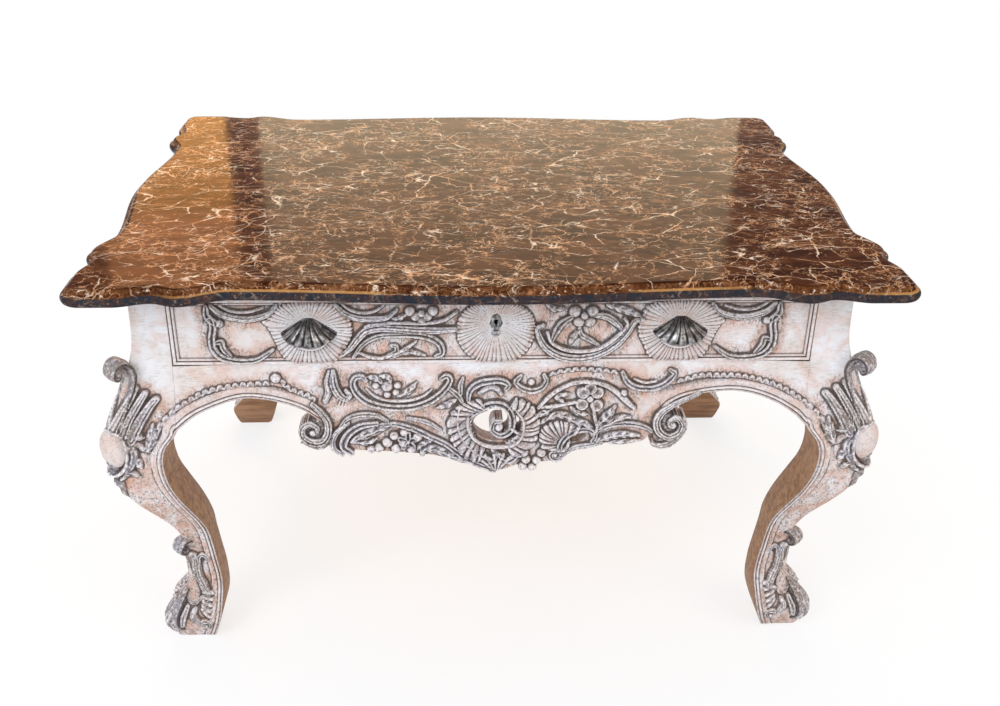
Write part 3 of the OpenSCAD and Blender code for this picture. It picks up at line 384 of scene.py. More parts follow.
    def marks(self) -> dict[str, Array]:
        """Gives the values that the materials read, by the names that they read them under."""
        return {"glaze": self.glaze, "hollow": self.cavity(), "near": self.near()}

    def sample(self, values: Array, x: Array, z: Array) -> Array:
        """Reads a grid of values between its points, at the coordinates."""
        u = np.clip((x - self.low[0]) / self.pitch, 0, values.shape[1] - 1.001)
        v = np.clip((z - self.low[1]) / self.pitch, 0, values.shape[0] - 1.001)
        i, j = u.astype(int), v.astype(int)
        f, g = u - i, v - j
        top = values[j, i] * (1 - f) + values[j, i + 1] * f
        low = values[j + 1, i] * (1 - f) + values[j + 1, i + 1] * f
        return top * (1 - g) + low * g


# Meshes


def new_piece(name: str, points: Array, faces: Sequence[Sequence[int]]) -> bpy.types.Object:
    """Makes a mesh object with smooth shading.

    Args:
        name: Name of the piece.
        points: Its vertices, in millimetres.
        faces: Vertex numbers of each face.

    Returns:
        The object, in the scene.
    """
    mesh = bpy.data.meshes.new(name)
    mesh.from_pydata((np.asarray(points, float) * MM).tolist(), [], [list(f) for f in faces])
    mesh.validate()
    mesh.shade_smooth()
    piece = bpy.data.objects.new(name, mesh)
    bpy.context.scene.collection.objects.link(piece)
    return piece


def paint_values(piece: bpy.types.Object, name: str, values: Array) -> None:
    """Stores one value a vertex, for the materials to read."""
    attribute = piece.data.attributes.new(name, "FLOAT", "POINT")
    full = np.zeros(len(piece.data.vertices), np.float32)
    full[: len(values)] = values[: len(full)]
    attribute.data.foreach_set("value", full)


def rim_moulding(r: Relief, d: Array, fade: Array, cove: Array | float = 1.0) -> None:
    """Carves the moulding that follows an arch's edge and the leg's inner edge.

    Args:
        r: Relief to carve.
        d: Distance of each grid point from the edge.
        fade: How much of the moulding each point gets.
        cove: How much of the outer cove each point gets.
    """
    at = (0.0, 1.2, 2.4, 3.2, 4.4, 6.4, 7.4, 8.4, 13.0, 16.0, 18.0, 20.5, 22.0)
    rise = (1.8, 3.0, 2.2, 0.8, 4.2, 3.6, 1.2, 2.2, 2.5, 1.9, 0.2, -1.0, 0.0)
    inside = (d >= -2) & (d < 22)
    high = np.interp(d, at, rise) * fade * np.where(d > 15, cove, 1.0)
    r.height = np.where(inside, np.maximum(r.height, high) + np.minimum(high, 0), r.height)
    # Painted shade: glaze draws dark lines at the edge and in the grooves between the beads, and
    # darkens the cove
    dark = np.interp(d, (0, 1, 2.2, 3.2, 4.2, 6.6, 7.6, 8.8),
                     (0.6, 0.2, 0.4, 0.9, 0.1, 0.1, 0.7, 0))
    dark = np.maximum(dark, cove * np.interp(d, (14.5, 17, 20, 22), (0, 0.5, 0.6, 0.2)))
    r.glaze = np.where(inside, np.maximum(r.glaze, dark * fade), r.glaze)
    # Painted highlight: a pale band along the beads and the flat beside them
    r.pale = np.maximum(r.pale, fade * np.interp(d, (-1, 0, 3.6, 4.6, 15, 18),
                                                 (0, 0.4, 0.4, 0.9, 0.8, 0)))


def join(name: str, pieces: Sequence[bpy.types.Object]) -> bpy.types.Object:
    """Joins pieces into the first one and names it."""
    with bpy.context.temp_override(active_object=pieces[0], selected_editable_objects=list(pieces)):
        bpy.ops.object.join()
    pieces[0].name = name
    pieces[0].data.name = name
    return pieces[0]


class Facing(Enum):
    """Side of the table that a flat face looks to, as a turn about Z in degrees."""

    FRONT = 0
    RIGHT = 90
    LEFT = 270


def carved_board(
    name: str,
    relief: Relief,
    place: Callable[[Array, Array, Array], Array],
    front: float,
    back: float,
    bow: Array | None = None,
) -> bpy.types.Object:
    """Makes a carved board: its front carries the relief and its edge follows the outline.

    Args:
        name: Name of the piece.
        relief: Heights, glaze and outline.
        place: Turns arrays of along, out and up into points.
        front: How far out the face lies.
        back: How far out the back lies.
        bow: Extra distance out of each grid point.

    Returns:
        The board, with its carving values and its faces numbered for two materials: face and edge,
        then back.
    """
    bow = np.zeros_like(relief.x) if bow is None else bow
    solid, rows, columns = relief.solid, *relief.solid.shape
    out = front + relief.height + bow
    xs, zs, ys = relief.x.ravel(), relief.z.ravel(), out.ravel()
    marks = {key: values.ravel() for key, values in relief.marks().items()}
    inside = (solid > 0).ravel()
    index = np.arange(rows * columns).reshape(rows, columns)
    corner = np.stack([index[:-1, :-1], index[:-1, 1:], index[1:, 1:], index[1:, :-1]],
                      -1).reshape(-1, 4)
    count = inside[corner].sum(1)
    quads = corner[count == 4].tolist()
    flat_solid = solid.ravel()
    crossings: dict[tuple[int, int], int] = {}
    extra: list[tuple[float, float, float]] = []
    kept_from: list[int] = []
    first = rows * columns

    def crossing(a: int, b: int) -> int:
        """Numbers the vertex where the outline crosses a grid edge."""
        key = (min(a, b), max(a, b))
        if key not in crossings:
            t = flat_solid[a] / (flat_solid[a] - flat_solid[b])
            kept = a if inside[a] else b
            crossings[key] = first + len(extra)
            kept_from.append(kept)
            extra.append((xs[a] + (xs[b] - xs[a]) * t, zs[a] + (zs[b] - zs[a]) * t,
                          ys[kept] - ARRIS))
        return crossings[key]

    rim: list[tuple[int, int]] = []
    cut: list[list[int]] = []
    for cell in corner[(count > 0) & (count < 4)].tolist():
        ring: list[int] = []
        for i in range(4):
            a, b = cell[i], cell[(i + 1) % 4]
            if inside[a]:
                ring.append(a)
            if inside[a] != inside[b]:
                ring.append(crossing(a, b))
        cut.append(ring)
        n = len(ring)
        rim += [(ring[i], ring[(i + 1) % n]) for i in range(n)
                if ring[i] >= first and ring[(i + 1) % n] >= first]
    edge = np.array(extra, float).reshape(-1, 3)
    along = np.tile(np.concatenate([xs, edge[:, 0]]), 2)
    up = np.tile(np.concatenate([zs, edge[:, 1]]), 2)
    half = len(along) // 2
    away = np.concatenate([ys, edge[:, 2], np.full(half, back)])
    walls = [(b, a, a + half, b + half) for a, b in rim]
    # The back repeats the outline: runs of whole cells in one face, then the cut cells
    behind = [[i + half for i in reversed(f)] for f in cut]
    for j, row in enumerate((count == 4).reshape(rows - 1, columns - 1)):
        ends = np.flatnonzero(np.diff(np.concatenate([[0], row.astype(int), [0]])))
        behind += [
            [int(index[j, a]) + half, int(index[j + 1, a]) + half, int(index[j + 1, b]) + half,
             int(index[j, b]) + half]
            for a, b in zip(ends[::2], ends[1::2])
        ]
    shell = [*quads, *cut, *walls, *behind]
    used = np.zeros(len(along), bool)
    used[[i for f in shell for i in f]] = True
    renumber = np.cumsum(used) - 1
    piece = new_piece(name, place(along, away, up)[used],
                      [[int(renumber[i]) for i in f] for f in shell])
    for key, values in marks.items():
        paint_values(piece, key, np.concatenate([values, values[kept_from], np.zeros(half)])[used])
    number, face = np.arange(len(shell)), len(quads) + len(cut)
    piece.data.polygons.foreach_set("material_index",
                                    (number >= face + len(walls)).astype(np.int32))
    piece.data.polygons.foreach_set("use_smooth", number < face)
    return piece


def facing(side: Facing) -> Callable[[Array, Array, Array], Array]:
    """Gives the function that puts along, out and up on a side of the table."""
    c, s = math.cos(math.radians(side.value)), math.sin(math.radians(side.value))

    def place(along: Array, out: Array, up: Array) -> Array:
        """Turns along, out and up into points."""
        return np.stack([along * c + out * s, along * s - out * c, up], -1)

    return place


def skinned(
    name: str, rings: Array, second: Sequence[int] = (), caps: bool = True, mirrored: bool = False
) -> bpy.types.Object:
    """Makes a skin through rings of points.

    Args:
        name: Name of the piece.
        rings: Points by ring and by place round it.
        second: Places round the ring that get the second material, as the caps then do.
        caps: True to close both ends.
        mirrored: True if the points were mirrored, so that the faces turn round.

    Returns:
        The piece.
    """
    count, n = rings.shape[:2]
    faces = [
        (r * n + i, r * n + (i + 1) % n, (r + 1) * n + (i + 1) % n, (r + 1) * n + i)
        for r in range(count - 1) for i in range(n)
    ]
    if caps:
        faces += [tuple(range(n - 1, -1, -1)), tuple(range((count - 1) * n, count * n))]
    if mirrored:
        faces = [f[::-1] for f in faces]
    piece = new_piece(name, rings.reshape(-1, 3), faces)
    if second:
        for k, polygon in enumerate(piece.data.polygons):
            polygon.material_index = int(k >= (count - 1) * n or k % n in second)
    return piece


def swept(
    name: str, path: Array, across: Array, widths: Sequence[float], thickness: Sequence[float],
    flutes: int,
) -> bpy.types.Object:
    """Sweeps a fluted band along a path.

    Args:
        name: Name of the piece.
        path: Points along it.
        across: Unit vector across the band, square to the path all along.
        widths: Widths at even shares.
        thickness: Thicknesses at even shares.
        flutes: Flutes across each face.

    Returns:
        The band.
    """
    sides = 24
    share = np.linspace(0, 1, len(path))
    tangent = np.gradient(path, axis=0)
    tangent /= np.linalg.norm(tangent, axis=1)[:, None]
    up = np.cross(across, tangent)
    w = np.interp(share, np.linspace(0, 1, len(widths)), widths) / 2
    t = np.interp(share, np.linspace(0, 1, len(thickness)), thickness) / 2
    a = np.linspace(0, 2 * math.pi, sides, endpoint=False)
    flat = np.sign(np.sin(a)) * np.abs(np.sin(a)) ** 0.6
    cut = 0.62 + 0.38 * np.abs(np.cos(np.cos(a) * flutes * math.pi / 2))
    rings = (
        path[:, None, :]
        + np.asarray(across)[None, None, :] * (w[:, None] * np.cos(a)[None, :])[..., None]
        + up[:, None, :] * (t[:, None] * (flat * cut)[None, :])[..., None]
    )
    band = skinned(name, rings)
    # Through the hollow value, the flutes' grooves take painted shade and their ridges a painted
    # highlight
    carved_values(band, 0.92, 0.6, np.tile(4.5 * (0.84 - cut), len(path)))
    return band


def carved_values(piece: bpy.types.Object, glaze: float, near: float = 0.5,
                  hollow: Array | float = 0.0) -> None:
    """Stores a carved piece's amount of glaze and wear, and how hollow each point lies."""
    for key, value in (("glaze", glaze), ("hollow", hollow), ("near", near)):
        paint_values(piece, key, np.zeros(len(piece.data.vertices)) + value)


# Sizes


@dataclass(frozen=True)
class Sizes:
    """Driving sizes of the table, as in the CAD source."""

    top_width: float = 1020.0
    top_depth: float = 756.0
    corner_radius: float = 26.0
    notch: float = 19.0
    dip: float = 10.0
    frame_top: float = 536.0
    apron_top: float = 431.0
    post_x: float = 445.0
    post_y: float = 319.0
    post: float = 44.0
    board_x: float = 443.0
    board_y: float = 317.0
    board: float = 22.0
    knee: float = 40.0
    # Height at which the leg's inner edge meets the apron's
    arch_end: float = 350.0
    face_z: float = 432.5
    drawer_half: float = 399.5
    drawer_height: float = 88.0
    pull_x: float = 230.0
    pull_width: float = 68.0
    pull_height: float = 40.0
    pull_out: float = 24.0
    key_z: float = 488.5
    seat: float = 2.5

    @property
    def inner_x(self) -> float:
        """Distance from the middle to the posts, along the front."""
        return self.post_x - self.post

    @property
    def inner_y(self) -> float:
        """Distance from the middle to the posts, along a side."""
        return self.post_y - self.post

    @property
    def drawer_mid(self) -> float:
        """Height of the middle of the drawer's face."""
        return self.face_z + self.drawer_height / 2


# Marble top


@dataclass(frozen=True)
class MarbleTop:
    """Marble slab with a serpentine outline and a moulded edge."""

    size: Sizes

    # Inset from the outline and height over the slab's foot: bullnose, quirk and ovolo
    EDGE = (
        (6.0, 0.0), (3.6, 0.5), (1.7, 1.9), (0.5, 4.1), (0.0, 6.6), (0.4, 8.9), (1.5, 10.9),
        (3.0, 12.0), (4.6, 12.4), (6.4, 12.5), (6.6, 13.1), (6.7, 14.0), (7.1, 15.6), (8.1, 17.4),
        (9.7, 18.9), (11.4, 19.7), (12.8, 20.0), (14.5, 20.0), (18.0, 20.0),
    )

    def swell(self, half: float, at: Array) -> Array:
        """Gives how far the outline of a side stands out, at distances from its corner."""
        knots = np.array([(0, 0), (62, 0), (105, -self.size.dip), (136, 0), (195, -self.size.notch),
                          (half, -2)], float)
        i = np.clip(np.searchsorted(knots[:, 0], at, side="right") - 1, 0, len(knots) - 2)
        a, b = knots[i], knots[i + 1]
        t = (at - a[:, 0]) / (b[:, 0] - a[:, 0])
        return a[:, 1] + (b[:, 1] - a[:, 1]) * (1 - np.cos(math.pi * np.clip(t, 0, 1))) / 2

    def side(self, half: float, reach: float, inset: float) -> Array:
        """Draws the outline of one side, which faces -Y, from left to right."""
        along = np.arange(self.size.corner_radius, half, 4.0)
        out = -(reach + self.swell(half, along) - inset)
        left = np.stack([along - half, out], 1)
        right = np.stack([half - along, out], 1)[::-1]
        return np.vstack([left, [[0, -(reach - 2 - inset)]], right])

    def outline(self, inset: float) -> Array:
        """Draws the whole outline at an inset."""
        s = self.size
        w, d, r = s.top_width / 2, s.top_depth / 2, s.corner_radius
        a = np.radians(np.linspace(-90, 0, 11)[1:-1])
        arc = np.stack([w - r + (r - inset) * np.cos(a), r - d + (r - inset) * np.sin(a)], 1)
        right = self.side(d, w, inset) @ np.array([[0.0, 1.0], [-1.0, 0.0]])
        half = np.vstack([self.side(w, d, inset), arc, right, (arc * (1, -1))[::-1]])
        return np.vstack([half, -half])

    def build(self) -> bpy.types.Object:
        """Builds the slab."""
        rings = [
            np.column_stack([o := self.outline(inset), np.full(len(o), self.size.frame_top + z)])
            for inset, z in self.EDGE
        ]
        return skinned("slab", np.array(rings))


# Legs


class Corner(Enum):
    """Corner of the table, as the signs of its X and Y."""

    FRONT_LEFT = (-1, -1)
    FRONT_RIGHT = (1, -1)
    REAR_LEFT = (-1, 1)
    REAR_RIGHT = (1, 1)


@dataclass
class Leg:
    """Cabriole leg carved on its two outer faces.

    Along a face, 0 is the post's corner and the middle of the table lies at negative values.
    """

    size: Sizes
    relief: Relief = field(init=False)

    # Share of the apron's top height, then shares of the knee for the corner, millimetres for
    # the inner edge's shift, and the share of the knee for the inner edge's own swell
    CURVE = (
        (0.000, 0.00, -10, 0.00), (0.035, 0.12, -16, 0.12), (0.081, 0.20, -22, 0.20),
        (0.116, -0.05, -24, -0.05), (0.162, -0.50, -24, -0.50), (0.209, -0.60, -23, -0.60),
        (0.278, -0.55, -20, -0.55), (0.348, -0.48, -17, -0.48), (0.406, -0.28, -15, -0.28),
        (0.464, 0.03, -10, 0.03), (0.522, 0.38, -3, 0.38), (0.580, 0.68, 5, 0.68),
        (0.650, 0.90, 14, 0.88), (0.720, 1.00, 17, 0.96), (0.770, 1.00, 13, 0.86),
        (0.811, 0.93, 0, 0.60), (0.858, 0.80, 0, 0.36), (0.940, 0.48, 0, 0.10),
        (1.020, 0.18, 0, 0.02), (1.090, 0.04, 0, 0.00), (1.2436, 0.00, 0, 0.00),
    )
    # Height of a row, columns across one face and the inner corner's chamfer
    STEP = 1.5
    COLUMNS = 46
    CHAMFER = 5.0
    # Length of the apron's edge by its run where it meets the leg, at a slope of 0.72
    SLANT = 1.23
    # Scrolls in the leg's diagonal plane: knots, widths, thicknesses and flutes, as in band
    BANDS = (
        ("ear", ((41, 352), (34, 372), (25, 392), (16, 408), (11, 424), (14, 438), (23, 446),
                 (33, 443), (37, 432), (31, 426), (26, 432)),
         (24, 26, 28, 29, 30, 31, 31, 28, 24, 20), (8, 8, 8, 9, 9, 9, 8, 6), 5),
        ("ankle", ((-46, 138), (-38, 148), (-26, 149), (-20, 139), (-27, 131), (-33, 136)),
         (16, 22, 24, 22, 18), (6, 8, 8, 6), 3),
        ("toe", ((-26, 70), (-14, 60), (-2, 48), (4, 36), (2, 24), (-8, 15), (-18, 20), (-18, 32),
                 (-10, 34)),
         (8, 18, 26, 30, 30, 28, 24, 20), (4, 7, 9, 10, 10, 8, 6), 5),
    )
    # Bosses in the same plane: place out, height, half sizes, glaze and wear, as in boss
    BOSSES = (
        ("ear_head", 26, 434, (10, 12, 9), 0.95, 0.5),
        ("toe_head", -8, 27, (9, 11, 8), 0.95, 0.5),
        ("cabochon", 48, 333, (13, 22, 26), 0.04, 0.2),
    )

    def __post_init__(self) -> None:
        """Carves the relief."""
        self.relief = self.carve()

    def curve(self, z: Array) -> tuple[Array, Array, Array]:
        """Gives the corner's reach, the inner edge's place and its swell at heights."""
        s = self.size
        rows = np.array(self.CURVE, float) * (s.apron_top, s.knee, 1, s.knee)
        path = smooth_path(rows, 1.0)
        order = np.argsort(path[:, 0])
        reach, shift, swell = (np.interp(z, path[order, 0], path[order, i]) for i in (1, 2, 3))
        shift = shift * (1 - ramp(z, s.arch_end - 6, s.arch_end + 4))
        return reach, shift - s.post, swell

    def carve(self) -> Relief:
        """Carves acanthus, scrolls and beads on one face."""
        r = Relief((-74.0, 0.0), (60.0, self.size.frame_top), 1.0)
        # Moulding along the inner edge, as on the apron's arch
        z = r.z[:, 0]
        d = r.x - self.curve(z)[1][:, None]
        # Above the arch's end it turns the corner with the apron's edge
        end = self.size.arch_end
        over = r.z - end
        d = np.where(over > 0, np.hypot(r.x + self.size.post, over / self.SLANT), d)
        rim_moulding(r, d, np.ones_like(d), ramp(z, end - 60, end)[:, None])
        r.stroke([(-44, 376), (-34, 368), (-25, 359), (-20, 348), (-17, 332)], (7, 7, 6, 4), 4,
                 ROPE, 0.6, reeds=5)
        # Blades that rise from the cabochon
        for w, knots in (
            (11, [(34, 350), (20, 377), (8, 396), (1, 408)]),
            (12, [(22, 346), (10, 372), (-3, 392), (-9, 400)]),
            (13, [(9, 346), (-3, 368), (-14, 384), (-21, 391)]),
        ):
            r.stroke(knots, (w, w, w, 0.8 * w), 7.5, BAND, 0.95)
        r.stroke([(14, 350), (4, 366), (-4, 378)], (5, 7, 4), 5.5, BEAD, 0.9)
        r.leaf([(-10, 332), (-15, 346), (-16, 362)], 15, 6.5, 2, base=0.5)
        r.leaf([(13, 344), (5, 349), (-6, 346)], 12, 6.5, 2, base=0.5)
        r.leaf([(8, 342), (-2, 336), (-12, 328)], 9, 5.5, 2, glaze=0.5)
        r.stroke([(16, 342), (9, 330), (12, 316), (20, 302)], (12, 14, 14, 9), 6.5, REED, reeds=3)
        r.leaf([(14, 322), (6, 318), (0, 306)], 13, 6, 3)
        # Ring of the cabochon, the dark leaf under it and its side leaf
        r.stroke([(38, 362), (22, 354), (15, 334), (18, 312), (30, 299), (46, 296)],
                 (3, 5, 6, 6, 4), 8.5, BEAD, 0.5)
        r.stroke([(41, 318), (41, 300), (38, 278), (35, 256), (28, 233)], (26, 29, 24, 17, 5), 6.5,
                 LEAF, 1.0, reeds=5)
        r.leaf([(28, 290), (16, 302), (3, 292)], 11, 6.5, 3)
        # Ankle scroll, its stem, its small curl, the shell's flutes and the pale drop
        r.stroke([(-26, 128), (-34, 122), (-34, 100), (-36, 84), (-42, 70), (-48, 62)],
                 (9, 12, 13, 13, 14, 10), 6, REED, reeds=4)
        r.stroke([(-38, 108), (-39, 120), (-45, 125), (-51, 118), (-47, 112)], (4, 6, 6, 4), 6,
                 COVE)
        for i in range(5):
            r.stroke([(-41, 65 - i * 4.4), (-54 + 0.8 * i, 64 - i * 6.2)], (5, 6, 5), 5.5, BEAD,
                     0.8)
        r.stroke([(-29, 96), (-28, 80), (-27, 62)], (3, 17, 19), 4.5, BEAD, 0.12)
        r.stroke([(-18, 70), (-22, 58), (-30, 54), (-38, 59)], (4, 5, 4), 5.5, COVE)
        r.stroke([(-14, 60), (-2, 46), (6, 28), (-2, 16)], (9, 14, 16, 9), 6, REED, reeds=3)
        r.stroke([(-20, 50), (-14, 36), (-12, 24)], (6, 9, 6), 5.5, COVE)
        r.stroke([(-30, 47), (-28, 40), (-34, 32), (-42, 26)], (7, 11, 11, 7), 5, REED, reeds=3)
        r.volute((-45, 24), 9, 60, 300, 6, 6)
        return r

    def section(self, z: Array) -> tuple[Array, Array, Array]:
        """Draws half of the leg's sections, from the inner edge to the corner's middle.

        Args:
            z: Heights of the sections.

        Returns:
            Places along the face, places out of it, and how far round the corner each one is.
        """
        reach, inner, swell = self.curve(z)
        # The corner is rounded at 9 mm, and at 3 mm on the post over the knee
        radius = 9 - 6 * ramp(z, 400, 450)
        share = np.linspace(0, 1, self.COLUMNS)[None, :]
        last = (reach - radius)[:, None]
        along = inner[:, None] + (last - inner[:, None]) * share
        lift = share**1.4
        away = swell[:, None] + (reach - swell)[:, None] * lift
        turn = np.radians(np.linspace(90, 45, 6))[None, 1:]
        arc_along = last + radius[:, None] * np.cos(turn)
        arc_away = (reach - radius)[:, None] + radius[:, None] * np.sin(turn)
        rounding = np.tile(90 - np.degrees(turn), (len(z), 1))
        spin = np.concatenate([np.zeros_like(along), rounding], 1)
        return np.hstack([along, arc_along]), np.hstack([away, arc_away]), np.radians(spin)

    def skin(self, name: str, corner: Corner) -> bpy.types.Object:
        """Makes the leg's carved body."""
        s = self.size
        z = np.append(np.arange(0, s.frame_top, self.STEP), s.frame_top)
        along, away, spin = self.section(z)
        up = np.repeat(z[:, None], along.shape[1], 1)
        rise = self.relief.sample(self.relief.height, along, up) * ramp(up, -1, 3)
        marks = {key: self.relief.sample(values, along, up)
                 for key, values in self.relief.marks().items()}
        a, b = along + rise * np.sin(spin), away + rise * np.cos(spin)
        inner = self.curve(z)[1][:, None]
        drop = np.linspace(0, 1, 4)[None, 1:]
        side_b = b[:, :1] + (inner + self.CHAMFER - b[:, :1]) * drop
        # One half of the ring: along the face, then down the plain inner side
        face = np.stack([a, b], -1)
        back = np.stack([np.repeat(inner, 3, 1), side_b], -1)
        half = np.concatenate([back[:, ::-1], face], 1)
        other = half[:, ::-1][..., ::-1]
        ring = np.concatenate([half, other[:, 1:]], 1)
        sx, sy = corner.value
        points = np.stack([
            sx * (s.post_x + ring[..., 0]), sy * (s.post_y + ring[..., 1]),
            np.repeat(z[:, None], ring.shape[1], 1),
        ], -1)
        n = ring.shape[1]
        plain = [0, 1, 2, n - 4, n - 3, n - 2, n - 1]
        piece = skinned(name, points, plain, mirrored=sx * sy > 0)
        for key, values in marks.items():
            row = np.concatenate([np.zeros((len(z), 3)), values], 1)
            paint_values(piece, key, np.concatenate([row, row[:, ::-1][:, 1:]], 1).ravel())
        return piece

    def band(self, name: str, corner: Corner, knots: Sequence[Point], widths: Sequence[float],
             thickness: Sequence[float], flutes: int) -> bpy.types.Object:
        """Sweeps a fluted scroll in the leg's diagonal plane.

        Args:
            name: Name of the piece.
            corner: Which leg it is on.
            knots: Distance out of the post's corner along the diagonal, and height.
            widths: Widths at even shares.
            thickness: Thicknesses at even shares.
            flutes: Flutes across it.

        Returns:
            The scroll.
        """
        sx, sy = corner.value
        path = smooth_path(knots, 1.0)
        d = path[:, 0] / math.sqrt(2)
        points = np.stack([sx * (self.size.post_x + d), sy * (self.size.post_y + d), path[:, 1]], 1)
        across = np.array([sx, -sy, 0.0]) / math.sqrt(2)
        return swept(name, points, across, widths, thickness, flutes)

    def boss(self, name: str, corner: Corner, out: float, z: float, half: Sequence[float],
             glaze: float, near: float) -> bpy.types.Object:
        """Makes a smooth oval boss in the leg's diagonal plane.

        Args:
            name: Name of the piece.
            corner: Which leg it is on.
            out: Distance of its middle out of the post's corner, along the diagonal.
            z: Height of its middle.
            half: Half of its depth, width and height.
            glaze: How much of the dark glaze it takes.
            near: How worn it is.

        Returns:
            The boss.
        """
        sx, sy = corner.value
        u, v = np.meshgrid(np.linspace(0, 2 * math.pi, 40, endpoint=False),
                           np.linspace(-math.pi / 2, math.pi / 2, 22)[1:-1])
        d = (out + half[0] * np.cos(v) * np.cos(u)) / math.sqrt(2)
        across = half[1] * np.cos(v) * np.sin(u) / math.sqrt(2)
        points = np.stack([sx * (self.size.post_x + d + across),
                           sy * (self.size.post_y + d - across), z + half[2] * np.sin(v)], -1)
        piece = skinned(name, points)
        carved_values(piece, glaze, near)
        return piece

    def build(self, corner: Corner, paint: bpy.types.Material,
              inside: bpy.types.Material) -> bpy.types.Object:
        """Builds the whole leg.

        Args:
            corner: Which leg it is.
            paint: Material of the carved faces.
            inside: Material of the plain inner sides.

        Returns:
            The leg, dressed.
        """
        name = "carved_leg_" + corner.name.lower()
        parts = [self.skin(name, corner)]
        parts += [self.band(part, corner, *shape) for part, *shape in self.BANDS]
        parts += [self.boss(part, corner, *shape) for part, *shape in self.BOSSES]
        for part in parts:
            dress(part, paint, inside)
        return join(name, parts)


# Boards and drawer


def cut_edge(r: Relief, knots: Sequence[Point]) -> Array:
    """Cuts the board off under its lower edge and gives each point's distance over the edge."""
    edge = profile(knots, r.x[0])
    slope = np.gradient(edge, r.pitch)
    d = (r.z - edge[None, :]) / np.sqrt(1 + slope**2)[None, :]
    r.pierce(d)
    return d


def bowed(size: Sizes, relief: Relief, start: float, end: float) -> Array:
    """Gives how far a board's ends swell out to meet the knees.

    Args:
        size: Sizes of the table.
        relief: Relief of the board.
        start: Distance from its middle at which it begins to swell.
        end: Distance from its middle to the post.

    Returns:
        The swell of each grid point.
    """
    rows = np.array(Leg.CURVE, float)
    swell = np.interp(relief.z, rows[:, 0] * size.apron_top, rows[:, 3] * size.knee)
    return (2 + swell) * ramp(np.abs(relief.x), start, end + 6) ** 1.5


def both_halves(half: Sequence[Point]) -> list[Point]:
    """Adds the left half of a symmetrical edge to its right half, which starts in the middle."""
    return [(-x, z) for x, z in half[:0:-1]] + list(half)


def moved(points: Sequence[Point], x: float, z: float, k: int = 1) -> list[Point]:
    """Moves points from the origin to a place, and mirrors them if k is -1."""
    return [(x + k * along, z + up) for along, up in points]


def carve_all(r: Relief, strokes: Sequence[tuple], x: float, z: float, k: int) -> None:
    """Carves a table of strokes about a place, mirrored if k is -1.

    Args:
        r: Relief to carve.
        strokes: What each stroke takes, in the order of Relief.stroke.
        x: Where the knots' origin lies.
        z: Its height.
        k: Side, 1 or -1.
    """
    for knots, *rest in strokes:
        r.stroke(moved(knots, x, z, k), *rest)


